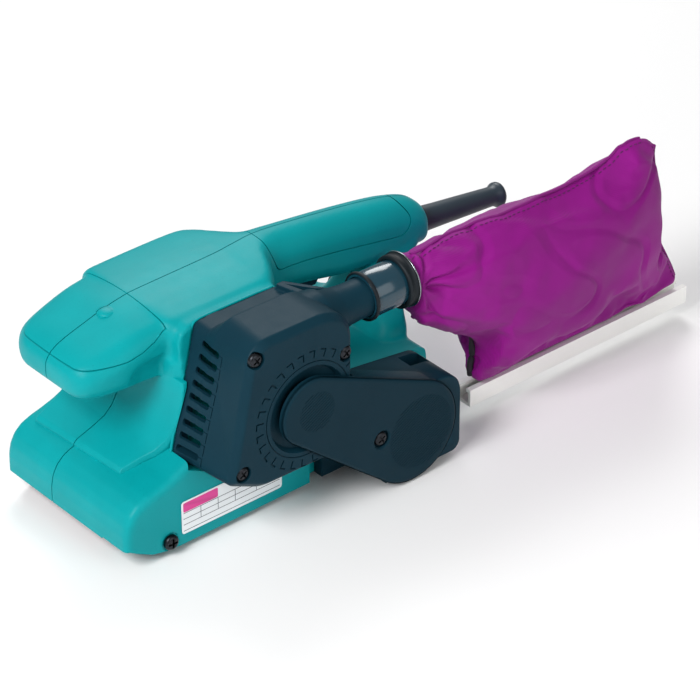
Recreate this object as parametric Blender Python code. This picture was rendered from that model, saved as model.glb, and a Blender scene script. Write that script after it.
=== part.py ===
"""Handheld belt sander with a transverse motor and a dust bag.

Frame: +X towards the cord end, -Y towards the drive-belt cover, +Z up. The origin
is the centre of the ground contact of the sanding belt. Every dimension below is in
millimetres, and MM turns it into the metres of the finished solids.
"""
import bpy
import bmesh
from math import acos, atan2, cos, degrees, pi, radians, sin, sqrt
from mathutils import Vector

MM = 0.001

# ---- driving dimensions, in millimetres ----
GAP = 0.3                       # between touching pieces
WALL = 3.0                      # moulded casing wall
BELT_WIDTH = 76.0               # sanding belt, 76 x 457 size
BELT_LOOP = 457.0
BELT_THICK = 1.2
FRONT_R = 14.5                  # belt's outer radius round the idler
REAR_R = 25.0                   # belt's outer radius round the drive roller
FRONT_X = -84.2                 # idler axis
REAR_X = FRONT_X + (BELT_LOOP - pi * (FRONT_R + REAR_R)) / 2.0   # drive roller axis
ROLLER_GAP = 0.7                # idler to belt, room for the tracking tilt
MOTOR_X = 0.0
MOTOR_Z = 78.0
NEAR_Y = -67.0                  # flat wall on the drive side
INNER_NEAR_Y = -60.0            # casing side behind the rear guard
FAR_Y = 42.0                    # flat wall on the open side
COVER_Y = -92.0                 # outer face of the fan cover and rear guard
LID_Y = -100.0                  # outer face of the drive-belt cover
POCKET_Y = -84.0                # floor of the drive-belt pocket
NOSE_X = -103.5
TAIL_X = 117.0
LID_FRONT = (0.0, 78.0, 20.5)   # drive-belt cover's front circle: x, z, radius
LID_REAR = (73.0, 32.4, 31.8)
LID_SCREW = (49.6, 38.0)        # x, z
COVER_SCREWS = ((-34.5, 123.0), (-45.0, 55.0), (27.5, 102.0))
NOZZLE_Y = -70.0
NOZZLE_Z = 112.5
NOZZLE_R = 11.3
SLEEVE_X0, SLEEVE_X1 = 59.5, 89.0   # tube that turns and slides on the nozzle
MOTOR_PULLEY_R = 6.4
DRIVE_PULLEY_R = 12.2
DRIVE_Y0, DRIVE_Y1 = -95.5, -86.5   # drive belt's edges
LEVER_X, LEVER_Z = -20.0, 15.0
TRACKER_X, TRACKER_Z = -74.0, 9.0
YOKE_PIN_X = -63.0
TRIGGER_PIN = (57.0, 96.0)      # x, z
LOCK_BUTTON = (101.0, 94.5)     # x, z
CORD_GUARD = (157.0, 0.0, 90.0)
CORD_GUARD_TILT = 6.0           # degrees down towards its free end
RAIL_X0, RAIL_X1 = 137.0, 311.0
RAIL_Z0, RAIL_Z1 = 9.3, 20.5
COLOURS = {
    "teal": (0.010, 0.457, 0.473),
    "black_plastic": (0.030, 0.052, 0.072),
    "purple": (0.305, 0.013, 0.278),
    "belt_cloth": (0.127, 0.013, 0.032),
    "steel": (0.55, 0.56, 0.58),
    "aluminium": (0.62, 0.63, 0.65),
    "copper": (0.72, 0.25, 0.08),
    "iron": (0.12, 0.12, 0.13),
    "cork": (0.42, 0.24, 0.11),
    "rubber": (0.02, 0.022, 0.025),
    "off_white": (0.78, 0.78, 0.75),
    "screw_black": (0.02, 0.02, 0.022),
    "graphite": (0.05, 0.05, 0.05),
}
METALS = ("steel", "aluminium", "copper", "screw_black", "iron")


# ---- scene and material helpers ----
def clear_scene():
    for item in list(bpy.data.objects):
        bpy.data.objects.remove(item, do_unlink=True)


def material(name, colour):
    look = bpy.data.materials.new(name)
    look.use_nodes = True
    shader = look.node_tree.nodes["Principled BSDF"]
    shader.inputs["Base Color"].default_value = (*COLOURS[colour], 1.0)
    shader.inputs["Roughness"].default_value = 0.32 if colour in METALS else 0.5
    shader.inputs["Metallic"].default_value = 1.0 if colour in METALS else 0.0
    return look


def make_object(name, bm):
    """A bmesh in millimetres becomes a closed object in metres."""
    bmesh.ops.remove_doubles(bm, verts=bm.verts, dist=1e-4)
    bmesh.ops.recalc_face_normals(bm, faces=bm.faces)
    bmesh.ops.scale(bm, vec=(MM, MM, MM), verts=bm.verts)
    mesh = bpy.data.meshes.new(name)
    bm.to_mesh(mesh)
    bm.free()
    item = bpy.data.objects.new(name, mesh)
    bpy.context.scene.collection.objects.link(item)
    return item


def finish(item, colour, origin=(0.0, 0.0, 0.0), sharp=32):
    """Give the piece its own material, smooth shading and its joint's origin."""
    item.data.materials.clear()
    item.data.materials.append(material(item.name + "_material", colour))
    shift = Vector(origin) * MM
    for vertex in item.data.vertices:
        vertex.co -= shift
    item.location = shift
    item.data.shade_smooth()
    item.data.set_sharp_from_angle(angle=radians(sharp))
    return item


def combine(item, others, operation):
    """Boolean the other objects into item, and remove them."""
    for other in others:
        modifier = item.modifiers.new(operation.lower(), "BOOLEAN")
        modifier.operation = operation
        modifier.object = other
        modifier.solver = "EXACT"
        bpy.context.view_layer.update()
        graph = bpy.context.evaluated_depsgraph_get()
        mesh = bpy.data.meshes.new_from_object(item.evaluated_get(graph))
        item.modifiers.clear()
        item.data = mesh
        bpy.data.objects.remove(other, do_unlink=True)
    return item


def join(item, *others):
    return combine(item, others, "UNION")


def cut(item, *others):
    return combine(item, others, "DIFFERENCE")


def keep(item, other):
    return combine(item, [other], "INTERSECT")


def copy_of(item, name):
    twin = bpy.data.objects.new(name, item.data.copy())
    bpy.context.scene.collection.objects.link(twin)
    return twin


# ---- shape helpers ----
def loft(name, loops):
    """Closed solid through loops that all have the same number of points."""
    bm = bmesh.new()
    rings = [[bm.verts.new(p) for p in loop] for loop in loops]
    for ring, following in zip(rings, rings[1:]):
        for i, vertex in enumerate(ring):
            j = (i + 1) % len(ring)
            bm.faces.new((vertex, ring[j], following[j], following[i]))
    bm.faces.new(list(reversed(rings[0])))
    bm.faces.new(rings[-1])
    return make_object(name, bm)


def prism(name, outline, y0, y1):
    """An outline of (x, z) points, extruded along Y."""
    return loft(name, [[(x, y0, z) for x, z in outline], [(x, y1, z) for x, z in outline]])


def box(name, low, high):
    (x0, y0, z0), (x1, y1, z1) = low, high
    return prism(name, [(x0, z0), (x1, z0), (x1, z1), (x0, z1)], y0, y1)


def arc(x, z, radius, start, end, steps):
    """Points of an arc from one angle to another, in degrees."""
    angles = [radians(start + (end - start) * i / steps) for i in range(steps + 1)]
    return [(x + radius * cos(a), z + radius * sin(a)) for a in angles]


def circle(x, z, radius, steps=32):
    return arc(x, z, radius, 0.0, 360.0 * (steps - 1) / steps, steps - 1)


def disc(name, x, z, radius, y0, y1, steps=32):
    return prism(name, circle(x, z, radius, steps), y0, y1)


def turned(name, centre, axis, profile, steps=32):
    """A closed solid of revolution from (position along axis, radius) pairs."""
    frames = {"X": ((1, 0, 0), (0, 1, 0), (0, 0, 1)),
              "Y": ((0, 1, 0), (0, 0, 1), (1, 0, 0)),
              "Z": ((0, 0, 1), (1, 0, 0), (0, 1, 0))}
    along, side, up = (Vector(v) for v in frames[axis])
    loops = []
    for distance, radius in profile:
        base = Vector(centre) + along * distance
        turns = [2.0 * pi * i / steps for i in range(steps)]
        loops.append([base + side * radius * cos(t) + up * radius * sin(t) for t in turns])
    return loft(name, loops)


def tube_between(name, outer, inner, y0, y1):
    """A solid along Y between an outer and an inner outline with as many points."""
    bm = bmesh.new()
    loops = []
    for points, y in ((outer, y0), (outer, y1), (inner, y1), (inner, y0)):
        loops.append([bm.verts.new((px, y, pz)) for px, pz in points])
    loops.append(loops[0])
    for one, two in zip(loops, loops[1:]):
        for i in range(len(outer)):
            j = (i + 1) % len(outer)
            bm.faces.new((one[i], one[j], two[j], two[i]))
    return make_object(name, bm)


def ring(name, x, z, outer, inner, y0, y1, steps=24):
    return tube_between(name, circle(x, z, outer, steps), circle(x, z, inner, steps), y0, y1)


def band(name, path, thickness, y0, y1):
    """An endless belt round the pulleys of a path."""
    return tube_between(name, path(0.0), path(thickness), y0, y1)


def two_circle_path(a, b, inset=0.0, steps=12):
    """Outline of a belt round two circles given as x, z, radius."""
    (ax, az, ar), (bx, bz, br) = a, b
    distance = sqrt((bx - ax) ** 2 + (bz - az) ** 2)
    heading = degrees(atan2(bz - az, bx - ax))
    spread = degrees(acos((ar - br) / distance))
    front = arc(ax, az, ar - inset, heading + spread, heading + 360.0 - spread, steps)
    rear = arc(bx, bz, br - inset, heading - spread, heading + spread, steps)
    return front + rear


def rounded_section(y0, y1, z0, z1, radius, steps=3, crown=0.0):
    """Corner points of a rounded rectangle, anticlockwise. A crown lowers its upper corners."""
    radius = min(radius, (y1 - y0) / 2.0 - 0.1, (z1 - z0) / 2.0 - 0.1)
    corners = ((y1 - radius, z0 + radius, -90.0), (y1 - radius, z1 - radius, 0.0),
               (y0 + radius, z1 - radius, 90.0), (y0 + radius, z0 + radius, 180.0))
    points = []
    for y, z, start in corners:
        points += arc(y, z, radius, start, start + 90.0, steps)
    centre, half = (y0 + y1) / 2.0, (y1 - y0) / 2.0
    level = (z0 + z1) / 2.0
    return [(y, z - crown * ((y - centre) / half) ** 2 * (z > level)) for y, z in points]


def hull_along_x(name, stations, inset=0.0, steps=3):
    """Loft of (x, y0, y1, z0, z1, corner radius, crown) sections, drawn in by inset."""
    loops = []
    for i, (x, y0, y1, z0, z1, radius, crown) in enumerate(stations):
        if i == 0:
            x += inset
        if i == len(stations) - 1:
            x -= inset
        section = rounded_section(y0 + inset, y1 - inset, z0 + inset, z1 - inset,
                                  max(radius - inset, 1.5), steps, crown)
        loops.append([(x, y, z) for y, z in section])
    return loft(name, loops)


def hull_along_z(name, stations, inset=0.0, steps=3):
    """Loft of (z, x0, x1, y0, y1, corner radius) sections, drawn in by inset."""
    loops = []
    for z, x0, x1, y0, y1, radius in stations:
        section = rounded_section(x0 + inset, x1 - inset, y0 + inset, y1 - inset,
                                  max(radius - inset, 1.0), steps)
        loops.append([(x, y, z) for x, y in section])
    return loft(name, loops)


# ---- outlines ----
def belt_path(inset):
    front, rear = (FRONT_X, FRONT_R, FRONT_R), (REAR_X, REAR_R, REAR_R)
    return two_circle_path(front, rear, inset)


def drive_path(inset):
    front = (MOTOR_X, MOTOR_Z, MOTOR_PULLEY_R + 2.2)
    rear = (REAR_X, REAR_R, DRIVE_PULLEY_R + 2.2)
    return two_circle_path(front, rear, inset, 8)


def lid_path(inset):
    return two_circle_path(LID_FRONT, LID_REAR, inset, 12)


def interface_y(z):
    """The fan cover meets the casing on a plane that leans outwards at the foot."""
    return -41.0 - (125.0 - z) * 11.0 / 80.0


SPINE = (                       # front grip, deck and rear handle, front to rear
    (-103.5, -16.0, 17.0, 96.0, 103.0, 3.0, 0.0),
    (-102.0, -24.0, 25.0, 92.5, 106.5, 6.0, 0.5),
    (-98.0, -29.5, 31.5, 90.0, 110.5, 9.0, 1.5),
    (-91.0, -32.5, 36.5, 88.5, 114.0, 10.0, 3.0),
    (-78.0, -34.5, 39.0, 88.0, 118.0, 10.0, 4.0),
    (-62.0, -35.0, 40.0, 88.0, 122.5, 9.0, 5.0),
    (-48.5, -36.0, 40.0, 88.0, 125.0, 8.0, 5.5),
    (-46.0, -38.0, 43.0, 88.0, 125.3, 8.0, 4.5),
    (-36.0, -40.5, 43.5, 88.0, 125.6, 8.0, 4.0),
    (10.0, -40.5, 43.0, 88.0, 126.5, 8.0, 4.5),
    (22.0, -39.5, 38.5, 88.0, 127.4, 8.0, 5.0),
    (30.0, -32.0, 27.0, 90.0, 128.2, 9.0, 4.5),
    (38.0, -20.0, 15.5, 91.0, 128.8, 11.0, 3.5),
    (50.0, -15.5, 13.6, 90.0, 128.2, 12.5, 3.5),
    (75.0, -14.5, 13.0, 86.0, 125.2, 12.0, 3.5),
    (100.0, -14.5, 13.0, 81.0, 121.8, 12.0, 3.5),
    (126.0, -14.5, 13.0, 79.5, 117.6, 12.0, 3.5),
    (141.0, -14.5, 13.0, 79.0, 114.0, 12.0, 3.5),
    (152.0, -14.0, 13.0, 79.0, 110.0, 12.0, 2.5),
    (159.0, -13.0, 12.5, 79.5, 105.0, 10.0, 2.0),
    (162.0, -10.0, 10.0, 82.0, 101.0, 8.0, 1.0),
)
REAR_COLUMN = (                 # from the rear deck up into the handle's end
    (50.0, 90.0, 117.0, -46.0, 36.0, 6.0),
    (56.0, 98.0, 119.0, -45.0, 22.0, 7.0),
    (62.0, 103.0, 121.0, -42.0, 17.0, 8.0),
    (68.0, 108.0, 130.0, -30.0, 16.0, 8.0),
    (75.0, 113.0, 142.0, -17.0, 15.5, 9.0),
    (84.0, 121.0, 155.0, -14.8, 14.8, 9.0),
    (92.0, 125.0, 158.0, -13.0, 13.0, 8.0),
)
HOOD = (                        # over the sanding belt: x, z
    (NOSE_X, 13.0), (NOSE_X, 23.0), (-102.0, 30.0), (-99.0, 36.0), (-94.0, 40.3),
    (-87.5, 42.8), (-85.0, 46.0), (-74.0, 49.8), (-66.0, 54.0), (-59.5, 61.0),
    (-54.0, 71.0), (-50.5, 80.0), (-49.0, 90.0), (-40.0, 90.0), (-40.0, 62.0),
    (45.0, 61.5), (62.0, 58.7), (112.0, 53.0), (TAIL_X, 48.5), (TAIL_X, 32.0), (104.0, 13.0),
)
CHEEK = (                       # the drive side's lower wall: x, z
    (NOSE_X, 14.0), (NOSE_X, 28.0), (-101.5, 35.0), (-96.5, 40.0), (-88.0, 43.5),
    (-70.0, 49.0), (-58.0, 55.5), (-50.0, 60.0), (24.7, 60.0), (24.7, 3.0), (-76.0, 3.0), (-86.0, 5.5),
)
GRIP_PAD = (                    # the front grip's upper moulding: x, z
    (-120.0, 108.5), (-72.0, 108.5), (-62.0, 111.5), (-54.0, 115.0), (-48.0, 119.0), (-48.0, 140.0),
    (-120.0, 140.0),
)
HANDLE_PAD = (                  # the rear handle's upper moulding: x, z
    (46.0, 110.0), (70.0, 107.0), (94.0, 103.0), (134.0, 95.5), (141.0, 96.5), (142.0, 104.0),
    (133.0, 130.0), (44.0, 140.0),
)
SCOOP = (                       # finger hollow under the front grip: x from its middle, radius
    (-16.0, 1.0), (-14.5, 11.0), (-10.5, 16.5), (-5.0, 18.6), (0.0, 19.0), (12.0, 19.0), (12.5, 1.0),
)
HOUSING_SCREWS = (              # x, z, how far its post runs to -Y and +Y, casing face on +Y
    (-80.0, 97.0, -33.0, 38.5, 40.0),
    (-38.0, 71.0, -39.0, 40.5, 42.0),
    (34.0, 94.5, -39.0, 40.5, 42.0),
    (112.0, 61.5, -17.0, 16.5, 18.8),
    (148.0, 90.0, -14.0, 14.0, 15.4),
)


# ---- casing ----
def column_stations(inset):
    low, high = 40.0, 100.0
    return [(z, -49.0, 41.0, interface_y(z), FAR_Y, 7.0) for z in (low, high)]


def casing_shell():
    """Both casing halves and the grip pads as one hollow moulding."""
    shell = hull_along_x("shell", SPINE)
    shell = join(shell, hull_along_z("column", column_stations(0.0)),
                 prism("hood", HOOD, INNER_NEAR_Y, FAR_Y),
                 prism("cheek", CHEEK, NEAR_Y, INNER_NEAR_Y + 1.0),
                 hull_along_z("rear_column", REAR_COLUMN))
    scoop, scoop_wall = (turned("scoop", (-62.0, -50.0, 93.0), "X",
                                [(x, radius + room) for x, radius in SCOOP], 20) for room in (0.0, WALL))
    shell = cut(shell, scoop, cut(hull_along_x("spine_hollow", SPINE, WALL), scoop_wall),
                box("column_hollow", (-46.0, -38.0, 50.0), (38.0, FAR_Y - WALL, 96.0)),
                disc("motor_hollow", MOTOR_X, MOTOR_Z, 31.6, -37.0, FAR_Y - WALL, 40),
                hull_along_z("rear_hollow", REAR_COLUMN[1:], WALL),
                prism("belt_space", belt_space(), -44.8, FAR_Y + 20.0),
                prism("side_space", [(-100.5, -5.0), (-100.5, 22.0), (-97.5, 30.5), (-89.0, 37.0),
                                     (-76.0, 41.0), (21.7, 42.0), (21.7, -5.0)], NEAR_Y + WALL, -47.8),
                box("tail_space", (21.7, INNER_NEAR_Y + WALL, -5.0), (113.0, -47.8, 50.0)))
    shell = join(shell, *[disc("post", x, z, 5.2, near, far, 12) for x, z, near, far, _ in HOUSING_SCREWS])
    seat = [(x + (GAP if x > 0.0 else -GAP), z - GAP) for x, z in leaned(fan_cover_outline(-5.0))]
    shell = cut(shell, loft("cover_seat", [[(x, interface_y(z), z) for x, z in seat],
                                           [(x, COVER_Y - 5.0, z) for x, z in seat]]))
    return cut(shell, disc("front_seat", MOTOR_X, MOTOR_Z, 11.3, -60.0, -36.0, 24),
               disc("shaft_way", REAR_X, REAR_R, 11.0, -70.0, -44.0, 20),
               disc("tracking_way", TRACKER_X, TRACKER_Z, 3.2, -70.0, -44.0, 16))


def belt_space():
    """The belt loop with running room, open at the foot, the tail and the far side."""
    room = 2.3
    front, rear = (FRONT_X, FRONT_R, FRONT_R + room), (REAR_X, REAR_R, REAR_R + room)
    path = two_circle_path(front, rear)
    top = [(x, z) for x, z in path if z >= FRONT_R]
    top.sort(key=lambda p: p[0])
    tail = [(TAIL_X + 5.0, 30.0), (TAIL_X + 5.0, -5.0)]
    return [(top[0][0], -5.0)] + [p for p in top if p[1] > 30.0 or p[0] < 0.0] + tail


def side_of(shell, name, low_y, high_y):
    part = copy_of(shell, name)
    return keep(part, box("half", (-140.0, low_y, -10.0), (200.0, high_y, 160.0)))


def pad_region(outline, side, grow):
    """The space one half of an upper moulding takes, grown all round by its gap."""
    middle = Vector((sum(x for x, _ in outline), sum(z for _, z in outline))) / len(outline)
    grown = [Vector(p) + (Vector(p) - middle).normalized() * grow for p in outline]
    y = (GAP / 2.0 - grow, 80.0) if side > 0 else (-80.0, -GAP / 2.0 + grow)
    return prism("pad_region", [tuple(p) for p in grown], *y)


def screw_ways(name, x, z, far_y):
    """Clear hole and head recess for one casing screw."""
    return [disc(name, x, z, 1.9, -9.0, 60.0, 12), disc(name, x, z, 3.9, far_y - 4.0, 70.0, 16)]


def make_casing():
    shell = casing_shell()
    halves = []
    for name, side in (("left_housing", -1), ("right_housing", 1)):
        limits = (-90.0, -GAP / 2.0) if side < 0 else (GAP / 2.0, 90.0)
        half = side_of(shell, name, *limits)
        half = cut(half, pad_region(GRIP_PAD, side, GAP), pad_region(HANDLE_PAD, side, GAP))
        halves.append(half)
        pad_side = "left" if side < 0 else "right"
        pad = side_of(shell, "grip_pad_" + pad_side, *limits)
        finish(keep(pad, pad_region(GRIP_PAD, side, 0.0)), "teal")
        pad = side_of(shell, "handle_pad_" + pad_side, *limits)
        finish(keep(pad, pad_region(HANDLE_PAD, side, 0.0)), "teal")
    bpy.data.objects.remove(shell, do_unlink=True)
    left, right = halves
    for i, (x, z, _, _, face) in enumerate(HOUSING_SCREWS):
        right = cut(right, *screw_ways("way", x, z, face))
        left = cut(left, disc("way", x, z, 1.9, -12.0, 5.0, 12))
        make_screw("housing_screw_%d" % (i + 1), x, z, face - 4.0 + GAP, 3.4, 2.6, face + 6.0, 1, 1.5)
    for k in range(5):
        z = MOTOR_Z - 16.0 + 8.0 * k
        right = cut(right, box("vent", (-14.0, 30.0, z - 1.6), (14.0, 50.0, z + 1.6)))
    finish(left, "teal")
    finish(right, "teal")


def make_screw(name, x, z, head_y, head_r, head_height, length, side, shank_r):
    """A screw along Y. Its head faces +Y for side 1 and -Y for side -1."""
    profile = ((-length, shank_r), (0.0, shank_r), (0.0, head_r), (head_height * 0.6, head_r),
               (head_height, head_r * 0.7))
    item = turned(name, (x, head_y, z), "Y", [(d * side, r) for d, r in profile], 12)
    top = head_y + side * head_height
    low, high = min(top - side * 1.0, top + side), max(top - side * 1.0, top + side)
    slot = box("slot", (x - 1.8, low, z - 0.45), (x + 1.8, high, z + 0.45))
    finish(cut(item, slot), "screw_black", (x, 0.0, z))
    return item


# ---- drive side ----
def leaned(outline):
    """The cover's edge on the casing, whose front line leans further back than the outer face's."""
    return [(x + (z - 92.0) * 0.13 * (x < -20.0), z) for x, z in outline]


def fan_cover_outline(top_drop):
    return [(-54.5, 50.0), (-31.0, 39.0), (33.0, 38.0), (33.0, 116.0 - top_drop * 0.3),
            (26.0, 127.0 - top_drop * 0.55), (14.0, 132.0 - top_drop), (-30.0, 132.5 - top_drop),
            (-38.5, 126.0 - top_drop * 0.4)]


def make_fan_cover():
    inner = leaned(fan_cover_outline(10.0))
    loops = [[(x, interface_y(z) - GAP, z) for x, z in inner],
             [(x, min(interface_y(z) - 3.0, -53.0), z) for x, z in inner],
             [(x, -62.0, z) for x, z in fan_cover_outline(0.5)],
             [(x, COVER_Y + 3.6, z) for x, z in fan_cover_outline(0.0)],
             [(x * 0.94, COVER_Y, 85.0 + (z - 85.0) * 0.93) for x, z in fan_cover_outline(0.0)]]
    cover = loft("fan_cover", loops)
    cover = join(cover, turned("spout", (0.0, NOZZLE_Y, NOZZLE_Z), "X",
                               [(20.0, 15.0), (30.0, 14.5), (38.0, 12.4), (48.0, NOZZLE_R),
                                (78.0, NOZZLE_R)]))
    chamber = [(-50.0, 53.5), (-30.0, 42.5), (29.8, 41.5), (29.8, 110.0), (24.0, 118.5), (-35.0, 118.5)]
    cover = cut(cover, prism("chamber", chamber, -80.0, -30.0),
                turned("duct", (0.0, NOZZLE_Y, NOZZLE_Z), "X", [(10.0, 9.0), (80.0, 9.0)]),
                prism("belt_pocket", lid_path(2.5), POCKET_Y, LID_Y),
                disc("dish", MOTOR_X, MOTOR_Z, 27.5, COVER_Y + 2.2, LID_Y, 32),
                disc("shaft_way", MOTOR_X, MOTOR_Z, 5.5, -90.0, -70.0, 20))
    for k in range(9):
        z = 56.5 + 7.3 * k
        x = -54.5 + (z - 50.0) * 16.0 / 76.0
        cover = cut(cover, box("slot", (x - 8.0, -69.0, z - 1.9), (x + 8.0, -52.8, z + 1.9)))
    for x, z in COVER_SCREWS:
        cover = cut(cover, disc("screw_way", x, z, 4.6, COVER_Y + 3.2, LID_Y, 16),
                    disc("screw_way", x, z, 1.9, -91.0, -70.0, 12))
    return finish(cover, "black_plastic")


def make_rear_guard():
    """Black casing round the drive pulley, behind the drive-belt cover."""
    plate = [(25.0, 3.0), (111.5, 3.0), (111.5, 44.0), (106.0, 52.0), (62.0, 57.8), (46.0, 60.0),
             (34.0, 60.0), (25.0, 30.0)]
    body = [(56.0, 3.0), (108.0, 3.0), (111.5, 7.0), (111.5, 42.0), (109.0, 48.5), (103.0, 52.5),
            (60.0, 58.5), (50.0, 58.5)]
    guard = prism("rear_guard", plate, NEAR_Y, INNER_NEAR_Y - GAP)
    guard = join(guard, prism("box", body, COVER_Y, -62.0),
                 prism("brow", lid_path(1.0), COVER_Y, NEAR_Y + 1.0))
    guard = cut(guard, box("front_trim", (-40.0, -110.0, -10.0), (33.0 + GAP, -50.0, 140.0)),
                prism("belt_pocket", lid_path(2.5), POCKET_Y, LID_Y))
    guard = cut(guard, box("inside", (66.0, -81.0, 6.0), (108.0, -50.0, 42.0)),
                box("top_recess", (93.0, -75.0, 40.0), (106.0, -65.0, 70.0)),
                box("rear_recess", (98.0, -88.0, 36.0), (120.0, -80.0, 46.0)))
    guard = join(guard, disc("post", *LID_SCREW, 3.3, DRIVE_Y0 - 0.4, -80.0, 16))
    guard = cut(guard, disc("shaft_way", REAR_X, REAR_R, 7.5, -90.0, -50.0, 20),
                disc("screw_way", *LID_SCREW, 1.6, -100.0, -72.0, 12))
    return finish(guard, "black_plastic")


def make_belt_cover():
    outer = lid_path(0.0)
    loops = [[(x, COVER_Y - GAP, z) for x, z in outer], [(x, LID_Y + 1.6, z) for x, z in outer],
             [(x, LID_Y, z) for x, z in lid_path(1.8)]]
    lid = loft("belt_cover", loops)
    lid = cut(lid, prism("hollow", lid_path(2.4), LID_Y + 2.0, -80.0))
    lid = join(lid, disc("boss", *LID_SCREW, 6.8, DRIVE_Y0 - 0.7, LID_Y + 1.0, 20))
    lid = cut(lid, disc("recess", *LID_SCREW, 5.2, DRIVE_Y0 - 1.9, -110.0, 20),
              disc("screw_way", *LID_SCREW, 1.9, -110.0, -80.0, 12))
    return finish(lid, "black_plastic")


def make_drive_side():
    make_fan_cover()
    make_rear_guard()
    make_belt_cover()
    for i, (x, z) in enumerate(COVER_SCREWS):
        make_screw("fan_cover_screw_%d" % (i + 1), x, z, COVER_Y + 3.0, 4.2, 3.2, 16.0, -1, 1.6)
    make_screw("belt_cover_screw", *LID_SCREW, DRIVE_Y0 - 2.1, 4.4, 2.0, 14.0, -1, 1.3)
    drive = band("drive_belt", drive_path, 1.8, DRIVE_Y0, DRIVE_Y1)
    finish(drive, "rubber")
    label = box("rating_label", (-66.0, NEAR_Y - 0.8, 10.0), (4.0, NEAR_Y - GAP, 31.0))
    finish(label, "off_white")


# ---- belt bed and rollers ----
def make_bed():
    frame = prism("base_frame", [(-70.0, 6.0), (96.0, 6.0), (104.0, 14.0), (104.0, 34.0), (96.0, 42.0),
                                 (20.0, 37.0), (-70.0, 27.0)], -44.5, -41.5)
    frame = join(frame, box("bed", (-48.0, -42.0, 6.6), (48.0, 35.0, 24.0)))
    frame = cut(frame, box("rod_slot", (-60.0, -7.4, 11.1), (-4.0, 7.4, 18.9)),
                box("light_slot_1", (4.0, -30.0, 11.0), (40.0, 30.0, 30.0)),
                disc("shaft_way", REAR_X, REAR_R, 10.3, -50.0, -38.0, 24),
                disc("tracking_way", TRACKER_X, TRACKER_Z, 3.0, -50.0, -38.0, 12))
    hub = turned("hub", (LEVER_X, 34.0, LEVER_Z), "Y", [(0.0, 3.2), (3.9, 3.2)], 16)
    finish(join(frame, hub), "aluminium")
    low = BELT_THICK + GAP
    shoe = [(-62.0, low + 3.4), (-60.0, low + 1.5), (58.0, low + 1.5), (60.0, low + 3.4), (60.0, low + 4.7),
            (-62.0, low + 4.7)]
    finish(prism("shoe_plate", shoe, -37.0, 37.0), "steel")
    finish(box("cork_pad", (-57.0, -36.0, low), (55.0, 36.0, low + 1.5 - GAP)), "cork")
    finish(band("sanding_belt", belt_path, BELT_THICK, -BELT_WIDTH / 2.0, BELT_WIDTH / 2.0), "belt_cloth")


def make_front_roller():
    """Spring-loaded rod, the yoke that tilts on its end, and the idler in the yoke."""
    inner = FRONT_R - BELT_THICK - ROLLER_GAP
    z = FRONT_R
    rod = box("tension_rod", (-61.0, -7.0, 11.5), (-22.0, 7.0, 18.5))
    rod = cut(rod, turned("pin_way", (YOKE_PIN_X, 0.0, z), "Z", [(-8.0, 4.0), (8.0, 4.0)], 20))
    finish(rod, "steel", (-61.0, 0.0, z))
    finish(turned("tension_spring", (0.0, 0.0, 15.0), "X", [(-21.6, 3.2), (-4.6, 3.2)], 16), "steel")
    yoke = box("yoke", (-69.0, -36.8, 8.5), (-64.0, 36.8, 20.5))
    yoke = join(yoke, turned("pin", (YOKE_PIN_X, 0.0, z), "Z", [(-6.0, 3.6), (6.0, 3.6)], 20))
    for y in (-36.8, 34.2):
        arm = prism("arm", [(-65.0, 9.5), (-65.0, 19.5)] + arc(FRONT_X, z, 5.0, 90.0, 270.0, 8), y, y + 2.6)
        yoke = join(yoke, arm)
    yoke = cut(yoke, disc("axle_way", FRONT_X, z, 2.8, -40.0, 40.0, 20))
    finish(yoke, "steel", (YOKE_PIN_X, 0.0, z))
    finish(disc("idler_axle", FRONT_X, z, 2.5, -36.6, 36.6, 20), "steel", (FRONT_X, 0.0, z))
    finish(ring("idler_roller", FRONT_X, z, inner, 2.8, -33.6, 33.6, 36), "aluminium", (FRONT_X, 0.0, z))
    lever = [(LEVER_X - 5.0, LEVER_Z - 3.5)] + arc(LEVER_X, LEVER_Z, 6.0, 215.0, 90.0, 6)
    lever += [(LEVER_X + 24.0, LEVER_Z + 3.0), (LEVER_X + 26.0, LEVER_Z), (LEVER_X + 24.0, LEVER_Z - 3.0)]
    lever += [(LEVER_X, LEVER_Z - 6.0)]
    finish(prism("tension_lever", lever, 38.7, 41.6), "steel", (LEVER_X, 0.0, LEVER_Z))
    x, z = TRACKER_X, TRACKER_Z
    screw = turned("tracking_screw", (x, 0.0, z), "Y",
                   [(-70.0, 4.2), (-68.0, 5.4), (-67.3, 5.4), (-67.3, 2.8), (-46.5, 2.8), (-45.0, 1.5)], 20)
    slots = [box("slot", (x - 4.0, -71.0, z - 0.6), (x + 4.0, -69.2, z + 0.6)),
             box("slot", (x - 0.6, -71.0, z - 4.0), (x + 0.6, -69.2, z + 4.0))]
    finish(cut(screw, *slots), "screw_black", (x, 0.0, z))


def make_rear_roller():
    inner = REAR_R - BELT_THICK - GAP
    origin = (REAR_X, 0.0, REAR_R)
    finish(ring("drive_roller", REAR_X, REAR_R, inner, 6.0, -36.5, 36.5, 40), "rubber", origin)
    shaft = turned("drive_shaft", origin, "Y",
                   [(-97.0, 3.9), (-60.0, 3.9), (-60.0, 4.9), (-37.2, 4.9), (-37.2, 5.7), (37.0, 5.7)], 24)
    finish(shaft, "steel", origin)
    finish(ring("drive_pulley", REAR_X, REAR_R, DRIVE_PULLEY_R, 4.2, -96.2, -86.0, 32), "aluminium", origin)
    finish(ring("drive_bearing_inner", REAR_X, REAR_R, 10.0, 5.0, -44.5, -38.6, 28), "steel", origin)
    finish(ring("drive_bearing_outer", REAR_X, REAR_R, 7.2, 4.0, -84.6, -80.0, 28), "steel", origin)


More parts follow.
